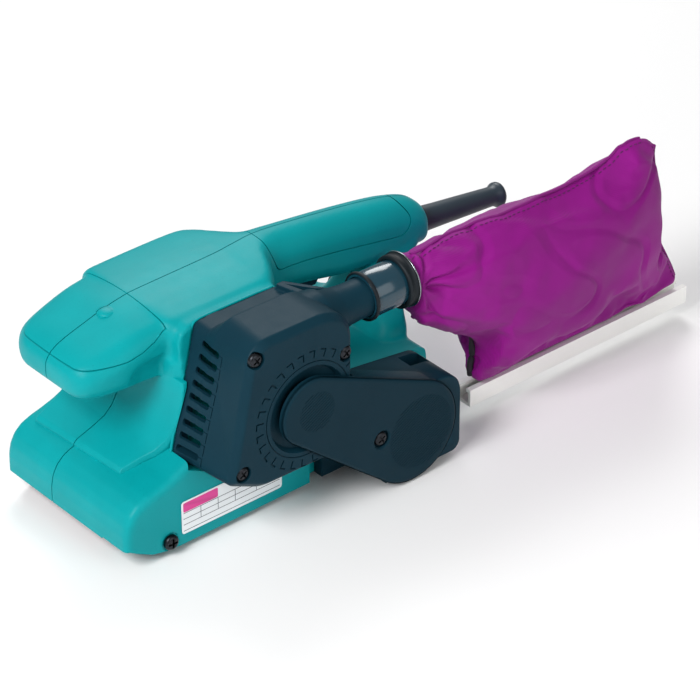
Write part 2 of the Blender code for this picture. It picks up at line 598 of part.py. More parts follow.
# ---- motor ----
def make_rotor():
    origin = (MOTOR_X, 0.0, MOTOR_Z)
    profile = [(-97.0, 3.0), (-52.0, 3.0), (-52.0, 4.0), (37.0, 4.0)]
    shaft = turned("armature_shaft", origin, "Y", profile, 20)
    finish(shaft, "steel", origin)
    teeth = []
    for k in range(12):
        middle = 360.0 / 12 * k
        teeth += arc(MOTOR_X, MOTOR_Z, 16.0, middle - 11.0, middle + 11.0, 2)
        teeth += arc(MOTOR_X, MOTOR_Z, 13.4, middle + 12.5, middle + 17.5, 1)
    core = prism("armature_core", teeth, -30.0, 8.0)
    finish(cut(core, disc("bore", MOTOR_X, MOTOR_Z, 4.3, -40.0, 20.0, 20)), "iron", origin)
    finish(ring("commutator", MOTOR_X, MOTOR_Z, 9.4, 4.3, 16.0, 29.0, 24), "copper", origin)
    hub = disc("cooling_fan", MOTOR_X, MOTOR_Z, 29.0, -62.0, -60.0, 32)
    hub = join(hub, disc("boss", MOTOR_X, MOTOR_Z, 7.5, -76.0, -61.0, 20))
    for k in range(8):
        blade = box("blade", (6.5, -76.0, -0.8), (28.0, -61.0, 0.8))
        blade.rotation_euler.y = 2.0 * pi * k / 8
        blade.location = Vector(origin) * MM
        hub = join(hub, blade)
    finish(cut(hub, disc("bore", MOTOR_X, MOTOR_Z, 3.3, -80.0, -50.0, 16)), "black_plastic", origin)
    finish(ring("motor_pulley", MOTOR_X, MOTOR_Z, MOTOR_PULLEY_R, 3.3, -96.2, -86.0, 24), "steel", origin)


def sector(name, outer, inner, start, end, y0, y1, steps=8):
    outline = arc(MOTOR_X, MOTOR_Z, outer, start, end, steps)
    outline += arc(MOTOR_X, MOTOR_Z, inner, end, start, steps)
    return prism(name, outline, y0, y1)


def make_stator():
    steps = 48
    bore = []
    for i in range(steps):
        turn = 2.0 * pi * i / steps
        on_pole = abs(cos(turn)) < cos(radians(50.0))
        radius = 17.2 if on_pole else 26.6
        bore.append((MOTOR_X + radius * cos(turn), MOTOR_Z + radius * sin(turn)))
    core = tube_between("stator_core", circle(MOTOR_X, MOTOR_Z, 31.0, steps), bore, -30.0, 8.0)
    finish(core, "iron")
    for k, start in enumerate((-42.0, 138.0)):
        coil = sector("field_coil_%d" % (k + 1), 26.0, 18.0, start, start + 84.0, -35.0, 13.0)
        finish(coil, "copper")
    finish(ring("motor_bearing_front", MOTOR_X, MOTOR_Z, 11.0, 4.1, -46.5, -39.5, 28), "steel")
    finish(ring("motor_bearing_rear", MOTOR_X, MOTOR_Z, 9.5, 4.1, 32.0, 37.5, 28), "steel")
    for k, side in enumerate((-1, 1)):
        near, far = 9.7 * side, 24.0 * side
        low, high = min(near, far), max(near, far)
        brush = box("brush_%d" % (k + 1), (low, 19.5, 75.0), (high, 26.0, 81.0))
        finish(brush, "graphite")
        low, high = min(13.0 * side, 27.0 * side), max(13.0 * side, 27.0 * side)
        holder = box("brush_holder_%d" % (k + 1), (low, 17.5, 73.0), (high, 28.0, 83.0))
        way = box("way", (min(0.0, 24.3 * side), 19.2, 74.7), (max(0.0, 24.3 * side), 26.3, 81.3))
        finish(cut(holder, way), "aluminium")


# ---- handle fittings ----
def make_handle_fittings():
    finish(box("switch_body", (60.0, -6.4, 100.0), (92.0, 6.4, 113.5)), "black_plastic")
    x, z = TRIGGER_PIN
    outline = [(x - 3.0, z + 1.0), (x, z + 3.2), (x + 28.0, z + 1.4), (x + 28.0, z - 9.0),
               (x + 24.0, z - 14.5), (x + 8.0, z - 12.5), (x - 3.0, z - 4.0)]
    finish(prism("trigger", outline, -5.5, 5.5), "black_plastic", (x, 0.0, z))
    x, z = LOCK_BUTTON
    button = turned("lock_button", (x, 8.0, z), "Y", [(0.0, 3.0), (9.5, 3.0), (10.5, 2.2)], 16)
    finish(button, "black_plastic", (x, 8.0, z))
    guard = turned("cord_guard", (0.0, 0.0, 0.0), "X",
                   [(0.0, 5.6), (6.3, 5.6), (6.3, 7.6), (34.0, 6.9), (63.5, 5.9), (66.5, 7.6), (70.0, 7.2)],
                   24)
    guard = cut(guard, turned("cord_way", (0.0, 0.0, 0.0), "X", [(62.0, 3.6), (80.0, 3.6)], 16))
    finish(guard, "rubber")
    guard.rotation_euler.y = radians(CORD_GUARD_TILT)
    guard.location = Vector(CORD_GUARD) * MM


def cut_handle_openings():
    left, right = bpy.data.objects["left_housing"], bpy.data.objects["right_housing"]
    x, z = TRIGGER_PIN
    for half in (left, right):
        cut(half, box("trigger_way", (x - 4.0, -6.0, 80.0), (x + 29.0, 6.0, z + 4.5)),
            turned("guard_way", (155.0, 0.0, CORD_GUARD[2] - 0.2), "X", [(0.0, 6.7), (30.0, 6.7)], 20))
    cut(right, disc("button_way", *LOCK_BUTTON, 3.3, 5.0, 30.0, 16))


# ---- dust bag ----
BAG_STATIONS = (                # x at top and foot, z at top and foot, half thickness
    (90.5, 90.5, 127.2, 97.8, 14.7),
    (98.0, 100.0, 127.0, 79.0, 17.0),
    (117.0, 118.0, 130.0, 61.0, 21.0),
    (146.0, 134.0, 133.5, 42.0, 24.0),
    (168.0, 143.0, 132.5, 21.6, 24.0),
    (208.0, 180.0, 132.4, 21.2, 24.0),
    (240.0, 230.0, 133.5, 21.2, 21.0),
    (262.0, 270.0, 140.5, 21.2, 14.0),
    (277.0, 303.0, 134.0, 21.2, 5.0),
)


def bag_section(top_x, foot_x, top_z, foot_z, half):
    """A pointed oval, thin at the top seam and at the foot hem."""
    points = []
    for i in range(20):
        turn = 2.0 * pi * i / 20
        level = (1.0 + cos(turn)) / 2.0
        waist = sin(turn) * (0.35 + 0.65 * sin(pi * level) ** 0.5)
        points.append((foot_x + (top_x - foot_x) * level, NOZZLE_Y + half * waist,
                       foot_z + (top_z - foot_z) * level))
    return points


def make_dust_bag():
    origin = (60.0, NOZZLE_Y, NOZZLE_Z)
    end = SLEEVE_X1
    sleeve = x_tube("bag_sleeve", NOZZLE_R + 2.1, NOZZLE_R + 0.5, SLEEVE_X0, end)
    finish(sleeve, "black_plastic", origin)
    finish(x_tube("bag_ring", NOZZLE_R + 3.8, NOZZLE_R + 2.4, end - 6.0, end + 1.0), "rubber", origin)
    finish(x_tube("clamp_ring", NOZZLE_R + 5.1, NOZZLE_R + 4.1, end - 2.5, end), "steel", origin)
    bag = loft("dust_bag", [bag_section(*station) for station in BAG_STATIONS])
    finish(bag, "purple", origin)
    outer, lip, inner = 6.0, 2.6, 4.2
    floor, flange = RAIL_Z0 + 1.8, RAIL_Z1 - 2.2
    section = [(-outer, RAIL_Z0), (outer, RAIL_Z0), (outer, RAIL_Z1), (lip, RAIL_Z1), (lip, flange),
               (inner, flange), (inner, floor), (-inner, floor), (-inner, flange), (-lip, flange),
               (-lip, RAIL_Z1), (-outer, RAIL_Z1)]
    loops = [[(x, NOZZLE_Y + y, z) for y, z in section] for x in (RAIL_X0, RAIL_X1)]
    finish(loft("bag_rail", loops), "off_white", (RAIL_X0, NOZZLE_Y, RAIL_Z0 + 5.4))


def x_tube(name, outer, inner, x0, x1):
    tube = ring(name, 0.0, 0.0, outer, inner, x0, x1, 32)
    for vertex in tube.data.vertices:
        x, y, z = vertex.co
        vertex.co = (y, NOZZLE_Y * MM + z, NOZZLE_Z * MM + x)
    return tube


clear_scene()
make_casing()
make_drive_side()
make_bed()
make_front_roller()
make_rear_roller()
make_rotor()
make_stator()
make_handle_fittings()
cut_handle_openings()
make_dust_bag()
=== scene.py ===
"""Handheld belt sander: the looks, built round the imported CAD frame."""

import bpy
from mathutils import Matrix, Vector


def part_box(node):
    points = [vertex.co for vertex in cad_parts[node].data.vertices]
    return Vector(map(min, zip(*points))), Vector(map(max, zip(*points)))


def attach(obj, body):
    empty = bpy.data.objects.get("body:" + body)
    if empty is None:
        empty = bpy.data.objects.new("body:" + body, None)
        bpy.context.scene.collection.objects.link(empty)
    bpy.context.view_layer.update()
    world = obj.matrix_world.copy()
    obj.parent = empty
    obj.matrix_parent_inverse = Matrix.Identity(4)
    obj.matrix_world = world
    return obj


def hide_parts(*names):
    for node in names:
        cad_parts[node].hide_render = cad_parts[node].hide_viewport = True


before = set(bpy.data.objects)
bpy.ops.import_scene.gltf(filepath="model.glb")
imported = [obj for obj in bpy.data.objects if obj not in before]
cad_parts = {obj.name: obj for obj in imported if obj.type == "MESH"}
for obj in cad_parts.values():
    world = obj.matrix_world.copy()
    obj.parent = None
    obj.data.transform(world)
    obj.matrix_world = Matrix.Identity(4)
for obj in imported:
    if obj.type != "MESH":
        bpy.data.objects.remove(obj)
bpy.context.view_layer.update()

from math import acos, atan2, cos, degrees, pi, radians, sin, sqrt

import bmesh
import bpy
from mathutils import Matrix, Vector, noise
from mathutils.bvhtree import BVHTree

MM = 0.001
SEAM = 0.32                     # half the visible gap between mouldings, in millimetres
CASING_VOXEL = 1.1
COVER_VOXEL = 0.8


def linked(name, data):
    """A new object in the scene."""
    item = bpy.data.objects.new(name, data)
    bpy.context.scene.collection.objects.link(item)
    return item


# ---- camera: from the near front corner, above ----
def make_camera():
    azimuth, elevation = radians(-40.5), radians(33)
    back = Vector((sin(azimuth) * cos(elevation), -cos(azimuth) * cos(elevation), sin(elevation)))
    data = bpy.data.cameras.new("camera")
    data.lens = 36 * 3600 / 700
    data.sensor_width = 36
    data.clip_start = 0.05
    data.clip_end = 50
    item = linked("camera", data)
    item.location = (-1.027, -1.333, 1.160)
    item.rotation_euler = (-back).to_track_quat("-Z", "Y").to_euler()
    bpy.context.scene.camera = item


# ---- places read from the frame, in millimetres ----
def low(node):
    return Vector(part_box(node)[0]) / MM


def high(node):
    return Vector(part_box(node)[1]) / MM


def middle(node):
    return (low(node) + high(node)) / 2


NEAR_Y = low("left_housing").y
FAR_Y = 42
COVER_Y = low("rear_guard").y
LID_Y = low("belt_cover").y
POCKET_Y = COVER_Y + 8
TICK_DEPTH = (COVER_Y - 2, COVER_Y + 0.9)
MOTOR = middle("motor_pulley")
REAR = middle("drive_pulley")
IDLER = middle("idler_roller")
NOZZLE = middle("bag_sleeve")
LID_FRONT = (MOTOR.x, MOTOR.z, 20.5)
LID_REAR = (73, 32.4, 31.8)
LID_SCREW = (middle("belt_cover_screw").x, middle("belt_cover_screw").z)
WALL = 3
BELT_THICKNESS = 1.2


# ---- materials ----
def srgb(red, green, blue):
    def linear(value):
        value /= 255
        return value / 12.92 if value <= 0.04045 else ((value + 0.055) / 1.055) ** 2.4
    return (linear(red), linear(green), linear(blue), 1)


def scaled(colour, factor):
    return tuple(min(1, c * factor) for c in colour[:3]) + (1,)


def fill_inputs(node, values):
    for name, value in values.items():
        node.inputs[name.replace("_", " ")].default_value = value


class Look:
    """Builds one procedural material step by step."""

    def __init__(self, name, colour, roughness, metallic=0):
        self.material = bpy.data.materials.new(name)
        self.material.use_nodes = True
        self.nodes = self.material.node_tree.nodes
        self.link = self.material.node_tree.links.new
        self.shader = self.nodes["Principled BSDF"]
        self.place = self.nodes.new("ShaderNodeTexCoord").outputs["Object"]
        self.colour = colour
        self.roughness = roughness
        self.colour_out = None
        self.bump_out = None
        self.set(Base_Color=colour, Roughness=roughness, Metallic=metallic)

    def add(self, kind, **values):
        """A new node, with its unlinked inputs set."""
        node = self.nodes.new("ShaderNode" + kind)
        fill_inputs(node, values)
        return node

    def noise(self, scale, detail=3, stretch=None):
        node = self.add("TexNoise", Scale=scale, Detail=detail)
        place = self.place
        if stretch:
            mapping = self.add("Mapping", Scale=stretch)
            self.link(place, mapping.inputs["Vector"])
            place = mapping.outputs["Vector"]
        self.link(place, node.inputs["Vector"])
        return node.outputs["Fac"]

    def ramp(self, source, first, second):
        """Maps a 0..1 source so that first gives 0 and second gives 1."""
        node = self.add("MapRange", From_Min=first, From_Max=second)
        self.link(source, node.inputs["Value"])
        return node.outputs["Result"]

    def mix_colour(self, factor, other):
        node = self.add("Mix")
        node.data_type = "RGBA"
        fill_inputs(node, {"A": self.colour, "B": other})
        if self.colour_out:
            self.link(self.colour_out, node.inputs["A"])
        self.link(factor, node.inputs["Factor"])
        self.colour_out = node.outputs["Result"]
        self.link(self.colour_out, self.shader.inputs["Base Color"])
        return self

    def vary_roughness(self, source, spread):
        node = self.add("MapRange", To_Min=self.roughness - spread, To_Max=self.roughness + spread)
        self.link(source, node.inputs["Value"])
        self.link(node.outputs["Result"], self.shader.inputs["Roughness"])
        return self

    def bump(self, height, distance, strength=1):
        node = self.add("Bump", Distance=distance, Strength=strength)
        self.link(height, node.inputs["Height"])
        if self.bump_out:
            self.link(self.bump_out, node.inputs["Normal"])
        self.bump_out = node.outputs["Normal"]
        self.link(self.bump_out, self.shader.inputs["Normal"])
        return self

    # Painted highlight: lightens the colour on convex edges, where light would catch them.
    def painted_edge_highlight(self, other, first, second):
        geometry = self.add("NewGeometry")
        return self.mix_colour(self.ramp(geometry.outputs["Pointiness"], first, second), other)

    def set(self, **values):
        fill_inputs(self.shader, values)
        return self


def moulded(name, colour, roughness, grain=1500, depth=0.00004):
    """Moulded plastic: faint mottling, spark-eroded grain, and convex edges lightened as a painted
    highlight.
    """
    look = Look(name, colour, roughness)
    look.mix_colour(look.ramp(look.noise(38, 4), 0.35, 0.75), scaled(colour, 1.10))
    look.mix_colour(look.ramp(look.noise(900, 2), 0.62, 0.80), scaled(colour, 0.90))
    # painted highlight: convex edges made lighter
    look.painted_edge_highlight(scaled(colour, 1.35), 0.56, 0.68)
    look.vary_roughness(look.noise(120, 3), 0.05)
    look.bump(look.noise(grain, 3), depth)
    return look


def metal(name, colour, roughness, stretch=(1, 60, 1)):
    """Turned or brushed metal with fine scratches and a little tarnish."""
    look = Look(name, colour, roughness, 1)
    look.mix_colour(look.ramp(look.noise(60, 5), 0.45, 0.8), scaled(colour, 0.72))
    look.vary_roughness(look.noise(300, 4, stretch), 0.10)
    look.bump(look.noise(900, 2, stretch), 0.00002)
    return look


def woven(name, colour, threads_per_metre=1500):
    """Plain weave: two crossed thread waves, thread colour variation and fuzz."""
    look = Look(name, colour, 0.85)
    scale = threads_per_metre * 2 * pi / 20
    height = None
    for axis in ("X", "Z"):
        wave = look.add("TexWave", Scale=scale, Distortion=0.6, Detail=2, Detail_Scale=40)
        wave.wave_type = "BANDS"
        wave.bands_direction = axis
        look.link(look.place, wave.inputs["Vector"])
        if height is None:
            height = wave.outputs["Fac"]
        else:
            join = look.add("Math")
            join.operation = "MAXIMUM"
            look.link(height, join.inputs[0])
            look.link(wave.outputs["Fac"], join.inputs[1])
            height = join.outputs["Value"]
    look.mix_colour(look.ramp(height, 0.9, 0.35), scaled(colour, 0.80))
    look.mix_colour(look.ramp(look.noise(24, 5), 0.42, 0.72), scaled(colour, 1.15))
    look.mix_colour(look.ramp(look.noise(2600, 2), 0.60, 0.78), scaled(colour, 0.85))
    look.bump(height, 0.00006, 0.5)
    look.bump(look.noise(300, 4), 0.00010, 0.5)
    return look


TEAL = srgb(0, 148, 153)
BLACK = srgb(14, 47, 60)
PURPLE = srgb(137, 3, 126)


def make_looks():
    looks = {
        "teal": moulded("teal_moulding", TEAL, 0.44).set(Specular_IOR_Level=0.14),
        "pad": moulded("teal_pad", TEAL, 0.46, 1100, 0.00006).set(Specular_IOR_Level=0.14),
        "black": moulded("black_moulding", BLACK, 0.46, 1300, 0.00006).set(Specular_IOR_Level=0.08),
        # the lid is a darker copy of the black moulding: painted shade
        "lid": moulded("black_lid_painted_shade", scaled(BLACK, 0.84), 0.5, 1300, 0.00008).set(Specular_IOR_Level=0.08),
        "sleeve": moulded("gloss_sleeve", scaled(BLACK, 1.3), 0.2, 400, 0.00001).set(
            Coat_Weight=0.4, Coat_Roughness=0.12),
        "rubber": moulded("black_rubber", srgb(10, 20, 26), 0.55, 900, 0.00005).set(Specular_IOR_Level=0.3),
        "guard": moulded("guard_rubber", srgb(38, 52, 62), 0.42, 900, 0.00003),
        "steel": metal("steel", srgb(190, 192, 196), 0.3),
        "chrome": metal("chrome", srgb(150, 154, 160), 0.22),
        "aluminium": metal("aluminium", srgb(196, 198, 202), 0.45, (1, 1, 1)),
        "screw": metal("screw_black", srgb(52, 54, 58), 0.34),
        "iron": metal("iron", srgb(92, 92, 96), 0.5),
        "copper": metal("copper", srgb(190, 110, 66), 0.35),
        "cork": moulded("cork", srgb(150, 112, 72), 0.8, 300, 0.0003),
        "carbon": moulded("carbon", srgb(40, 40, 42), 0.7),
        "rail": moulded("rail_plastic", srgb(226, 226, 220), 0.33, 700, 0.00002),
        "label": moulded("label_film", srgb(226, 232, 236), 0.3, 500, 0.00001),
        "label_patch": moulded("label_patch", srgb(196, 48, 128), 0.35, 500, 0.00001),
        "label_ink": moulded("label_ink", srgb(48, 58, 66), 0.4, 500, 0.00001),
        "seam_cloth": woven("seam_cloth", scaled(PURPLE, 0.8)),
        "thread": moulded("seam_thread", srgb(84, 10, 80), 0.8, 900, 0.0001),
        "hem": woven("hem_tape", srgb(30, 24, 34)),
        "cloth": woven("bag_cloth", PURPLE).set(Roughness=0.62, Specular_IOR_Level=0.22,
                                                Sheen_Weight=0.05, Sheen_Roughness=0.5),
        "grit": grit_look(),
        "backing": woven("belt_backing", srgb(150, 118, 92), 900),
    }
    return {name: look.material for name, look in looks.items()}


def grit_look():
    """Maroon abrasive: packed grains, each a slightly different tone."""
    colour = srgb(104, 34, 54)
    look = Look("abrasive_grit", colour, 0.72)
    cells = look.add("TexVoronoi", Scale=2200)
    look.link(look.place, cells.inputs["Vector"])
    look.mix_colour(look.ramp(cells.outputs["Distance"], 0.2, 0.7), scaled(colour, 0.55))
    look.mix_colour(look.ramp(look.noise(700, 4), 0.55, 0.8), scaled(colour, 1.9))
    look.bump(cells.outputs["Distance"], 0.00025, 0.9)
    return look


# ---- mesh helpers, all in millimetres until made ----
def make_object(name, bm):
    bmesh.ops.remove_doubles(bm, verts=bm.verts, dist=1e-4)
    bmesh.ops.recalc_face_normals(bm, faces=bm.faces)
    bmesh.ops.scale(bm, vec=(MM, MM, MM), verts=bm.verts)
    return mesh_object(name, bm)


def mesh_object(name, bm):
    mesh = bpy.data.meshes.new(name)
    bm.to_mesh(mesh)
    bm.free()
    return linked(name, mesh)


def loft(name, loops, closed=False):
    """Solid through loops with as many points each, capped unless it closes on itself."""
    bm = bmesh.new()
    rings = [[bm.verts.new(p) for p in loop] for loop in loops]
    if closed:
        rings.append(rings[0])
    for one, two in zip(rings, rings[1:]):
        for i, vertex in enumerate(one):
            j = (i + 1) % len(one)
            bm.faces.new((vertex, one[j], two[j], two[i]))
    if not closed:
        bm.faces.new(list(reversed(rings[0])))
        bm.faces.new(rings[-1])
    return make_object(name, bm)


def at_y(outline, y):
    return [(x, y, z) for x, z in outline]


def prism(name, outline, y0, y1):
    return loft(name, [at_y(outline, y0), at_y(outline, y1)])


def rectangle(x0, z0, x1, z1):
    return [(x0, z0), (x1, z0), (x1, z1), (x0, z1)]


def box(name, corner, opposite):
    (x0, y0, z0), (x1, y1, z1) = corner, opposite
    return prism(name, rectangle(x0, z0, x1, z1), y0, y1)


def arc(x, z, radius, start, end, steps):
    angles = [radians(start + (end - start) * i / steps) for i in range(steps + 1)]
    return [(x + radius * cos(a), z + radius * sin(a)) for a in angles]


def circle(x, z, radius, steps=64):
    return arc(x, z, radius, 0, 360 * (steps - 1) / steps, steps - 1)


def disc(name, x, z, radius, y0, y1, steps=64):
    return prism(name, circle(x, z, radius, steps), y0, y1)


def turned(name, centre, axis, profile, steps=64, closed=False):
    """Turned solid from (position along the axis, radius) pairs; closed makes a ring."""
    frames = {"X": ((1, 0, 0), (0, 1, 0), (0, 0, 1)), "Y": ((0, 1, 0), (0, 0, 1), (1, 0, 0)),
              "Z": ((0, 0, 1), (1, 0, 0), (0, 1, 0))}
    along, side, up = (Vector(v) for v in frames[axis])
    loops = []
    for distance, radius in profile:
        base = Vector(centre) + along * distance
        turns = [2 * pi * i / steps for i in range(steps)]
        loops.append([base + side * radius * cos(t) + up * radius * sin(t) for t in turns])
    return loft(name, loops, closed)


def modified(item, kind, **values):
    """Adds a modifier with the given settings."""
    modifier = item.modifiers.new(kind.lower(), kind)
    for name, value in values.items():
        setattr(modifier, name, value)
    return item


def combined(item, others, operation):
    for other in others:
        baked(modified(item, "BOOLEAN", operation=operation, object=other, solver="MANIFOLD"))
        bpy.data.objects.remove(other, do_unlink=True)
    return item


def baked(item):
    """Applies the object's modifiers to its mesh."""
    bpy.context.view_layer.update()
    graph = bpy.context.evaluated_depsgraph_get()
    mesh = bpy.data.meshes.new_from_object(item.evaluated_get(graph))
    item.modifiers.clear()
    item.data = mesh
    return item


def cut(item, *others):
    return combined(item, others, "DIFFERENCE")


def join(item, *others):
    return combined(item, others, "UNION")


def keep(item, other):
    return combined(item, [other], "INTERSECT")


def twin(item, name):
    return linked(name, item.data.copy())


def gathered(name, items):
    """Several meshes as one object, without joining their surfaces."""
    bm = bmesh.new()
    for item in items:
        bm.from_mesh(item.data)
        bpy.data.objects.remove(item, do_unlink=True)
    return mesh_object(name, bm)


def melted(name, items, voxel, rounds):
    """Union of solids with moulded fillets: voxel remesh, then smoothing."""
    item = gathered(name, items)
    modified(item, "REMESH", mode="VOXEL", voxel_size=voxel * MM, adaptivity=0)
    return baked(modified(item, "SMOOTH", factor=0.5, iterations=rounds))


def eased(item, width, segments, angle):
    return modified(item, "BEVEL", width=width * MM, segments=segments, limit_method="ANGLE",
                    angle_limit=radians(angle))


def bevelled(item, width, segments=3, angle=35):
    return baked(eased(item, width, segments, angle))


def place(item, look, slot, *nodes, body="root", sharp=35):
    """Finish a piece: material, smooth shading, its body and the CAD nodes it stands for."""
    item.data.shade_smooth()
    item.data.set_sharp_from_angle(angle=radians(sharp))
    dressed(item, look)
    if nodes:
        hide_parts(*nodes)
    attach(item, body)
    return item


def dressed(item, look):
    item.data.materials.clear()
    item.data.materials.append(LOOKS[look])
    return item


def offset(outline, distance):
    """Outline moved inwards along its corner normals; it runs anticlockwise."""
    area = sum(a[0] * b[1] - b[0] * a[1] for a, b in zip(outline, outline[1:] + outline[:1]))
    side = 1 if area > 0 else -1
    moved = []
    for i, (x, z) in enumerate(outline):
        before, after = Vector(outline[i - 1]), Vector(outline[(i + 1) % len(outline)])
        into, out = (Vector((x, z)) - before).normalized(), (after - Vector((x, z))).normalized()
        normal = Vector((-(into.y + out.y), into.x + out.x)).normalized() * side
        spread = max(0.5, cos(into.angle(out, 0) / 2))
        moved.append((x + normal.x * distance / spread, z + normal.y * distance / spread))
    return moved


def rounded(outline, radius, steps=5):
    """Outline with each corner turned into an arc; radius may be a list."""
    points = []
    for i, corner in enumerate(outline):
        reach = radius[i] if isinstance(radius, (list, tuple)) else radius
        corner = Vector(corner)
        before = Vector(outline[i - 1]) - corner
        after = Vector(outline[(i + 1) % len(outline)]) - corner
        back = min(reach, before.length * 0.48, after.length * 0.48)
        start, end = corner + before.normalized() * back, corner + after.normalized() * back
        for k in range(steps + 1):
            t = k / steps
            point = start.lerp(corner, t).lerp(corner.lerp(end, t), t)
            points.append((point.x, point.y))
    return points


QUARTER = [pi / 2 * k / 6 for k in range(7)]


def soft_prism(name, outline, y0, y1, near_r=0, far_r=0):
    """An extruded outline with rounded rims: y0 < y1, radii at the y0 and the y1 end."""
    sections = [(y0, 0)]
    if near_r:
        sections = [(y0 + near_r * (1 - cos(t)), near_r * (1 - sin(t))) for t in QUARTER]
    if far_r:
        sections += [(y1 - far_r * (1 - cos(t)), far_r * (1 - sin(t))) for t in reversed(QUARTER)]
    else:
        sections.append((y1, 0))
    return loft(name, [at_y(offset(outline, inset) if inset > 1e-6 else outline, y)
                       for y, inset in sections])


def two_circle_path(a, b, inset=0, steps=32):
    (ax, az, ar), (bx, bz, br) = a, b
    distance = sqrt((bx - ax) ** 2 + (bz - az) ** 2)
    heading = degrees(atan2(bz - az, bx - ax))
    spread = degrees(acos((ar - br) / distance))
    front = arc(ax, az, ar - inset, heading + spread, heading + 360 - spread, steps)
    rear = arc(bx, bz, br - inset, heading - spread, heading + spread, steps)
    return front + rear


def rounded_section(y0, y1, z0, z1, radius, crown=0, steps=9):
    radius = min(radius, (y1 - y0) / 2 - 0.1, (z1 - z0) / 2 - 0.1)
    corners = ((y1 - radius, z0 + radius, -90), (y1 - radius, z1 - radius, 0),
               (y0 + radius, z1 - radius, 90), (y0 + radius, z0 + radius, 180))
    points = []
    for y, z, start in corners:
        points += arc(y, z, radius, start, start + 90, steps)
    centre, half, level = (y0 + y1) / 2, (y1 - y0) / 2, (z0 + z1) / 2
    points = split_long(points)
    return [(y, z - crown * ((y - centre) / half) ** 2 * (z > level)) for y, z in points]


def split_long(points):
    """Seven extra points on each straight side, so that a crown bends it."""
    refined = []
    for i, point in enumerate(points):
        ahead = points[(i + 1) % len(points)]
        refined.append(point)
        if i % 10 == 9:
            refined += [tuple(Vector(point).lerp(Vector(ahead), k / 8)) for k in range(1, 8)]
    return refined


def smoothed(stations, parts=5):
    """Catmull-Rom curve through rows of numbers."""
    rows = []
    last = len(stations) - 1
    for i in range(last):
        a, b = stations[max(i - 1, 0)], stations[i]
        c, d = stations[i + 1], stations[min(i + 2, last)]
        for k in range(parts):
            t = k / parts
            rows.append(tuple(0.5 * (2 * q + (r - p) * t + (2 * p - 5 * q + 4 * r - s) * t * t
                                     + (3 * q - p - 3 * r + s) * t ** 3)
                              for p, q, r, s in zip(a, b, c, d)))
    rows.append(stations[-1])
    return rows


def hull_along_x(name, stations, inset=0):
    loops = []
    for i, (x, y0, y1, z0, z1, radius, crown) in enumerate(stations):
        x += inset * ((i == 0) - (i == len(stations) - 1))
        section = rounded_section(y0 + inset, y1 - inset, z0 + inset, z1 - inset,
                                  max(radius - inset, 1.5), crown)
        loops.append([(x, y, z) for y, z in section])
    return loft(name, loops)


def hull_along_z(name, stations):
    return loft(name, [[(x, y, z) for x, y in rounded_section(x0, x1, y0, y1, radius)]
                       for z, x0, x1, y0, y1, radius in stations])


def tube(name, points, radius, sides=10):
    """A thin round bead along a line of points."""
    loops = []
    for i, point in enumerate(points):
        point = Vector(point)
        ahead, behind = Vector(points[min(i + 1, len(points) - 1)]), Vector(points[max(i - 1, 0)])
        turn = (ahead - behind).to_track_quat("Z", "Y").to_matrix()
        ends = 0.35 if i in (0, len(points) - 1) else 1
        angles = [2 * pi * k / sides for k in range(sides)]
        loops.append([point + turn @ Vector((cos(a), sin(a), 0)) * radius * ends for a in angles])
    return loft(name, loops)


# ---- the teal casing ----
def interface_y(z):
    """The fan cover meets the casing on a plane that leans outwards at the foot."""
    return -41 - (125 - z) * 11 / 80


SPINE = (                       # x, near y, far y, low z, top z, corner radius, crown
    (-103.2, -16, 17, 96, 103, 3, 0),
    (-101.8, -24, 25, 92.5, 106.5, 6, 0.5),
    (-98, -29.5, 31.5, 90, 110.5, 9, 1.5),
    (-91, -32.5, 36.5, 88.5, 114, 10, 3),
    (-78, -34.5, 39, 88, 118, 10, 4),
    (-62, -35, 40, 88, 122.5, 9, 5),
    (-48.5, -36, 40, 88, 125, 8, 5.5),
    (-46, -38, 43, 88, 125.3, 8, 4.5),
    (-36, -40.5, 43.5, 88, 125.6, 8, 4),
    (10, -40.5, 43, 88, 126.5, 8, 4.5),
    (22, -39.5, 38.5, 88, 127.4, 8, 5),
    (30, -32, 27, 90, 128.2, 9, 4.5),
    (38, -20, 15.5, 91, 128.8, 11, 3.5),
    (50, -15.5, 13.6, 90, 128.2, 12.5, 3.5),
    (75, -14.5, 13, 86, 125.2, 12, 3.5),
    (100, -14.5, 13, 81, 121.8, 12, 3.5),
    (126, -14.5, 13, 79.5, 117.6, 12, 3.5),
    (141, -14.5, 13, 79, 114, 12, 3.5),
    (152, -14, 13, 79, 110, 12, 2.5),
    (159, -13, 12.5, 79.5, 105, 10, 2),
    (162, -10, 10, 82, 101, 8, 1),
)
REAR_COLUMN = (                 # z, x0, x1, y0, y1, corner radius
    (46, 84, 116.5, -48, 40, 6),
    (50, 90, 117.5, -46.5, 36, 6),
    (56, 98, 119, -45.5, 22, 7),
    (62, 103, 121, -42, 17, 8),
    (68, 108, 130, -30, 16, 8),
    (75, 113, 142, -17, 15.5, 9),
    (84, 121, 155, -15, 15, 9),
    (92, 125, 158, -14, 14, 8),
)
HOOD = (                        # lower body: x, z
    (-103.5, -5), (-103.5, 23), (-102.2, 30), (-99, 36), (-94, 40.3), (-87.5, 42.9),
    (-80, 44.8), (-71, 47.6), (-60, 53), (-50, 58), (-40, 60), (45, 61),
    (62, 58.7), (112, 53), (116, 50.5), (117, 46), (117, -5),
)
NOSE_PAD = (                    # raised pad that sweeps up into the column: x, z
    (-87.2, 36), (-87.2, 44.4), (-85, 46.4), (-73.6, 50.4), (-66, 53.6), (-60.5, 58.6), (-56.5, 65.5),
    (-53, 74), (-50.5, 83), (-49, 92), (-40, 92), (-40, 36),
)
SKIRT = ((-120, -20), (-120, 14.3), (-101, 14), (-96, 11), (-86, 5.8), (-76, 3.6), (-66, 3), (24.7, 3),
         (24.7, -20))           # cut away below the near flank: x, z
TAIL_SLOPE = ((100, -20), (130, -20), (130, 32), (117.5, 32), (104, 13), (100, 13))
SIDE_SPACE = ((-100.5, -15), (-100.5, 22), (-97.5, 30.5), (-89, 37), (-76, 41), (21.7, 42), (21.7, -15))
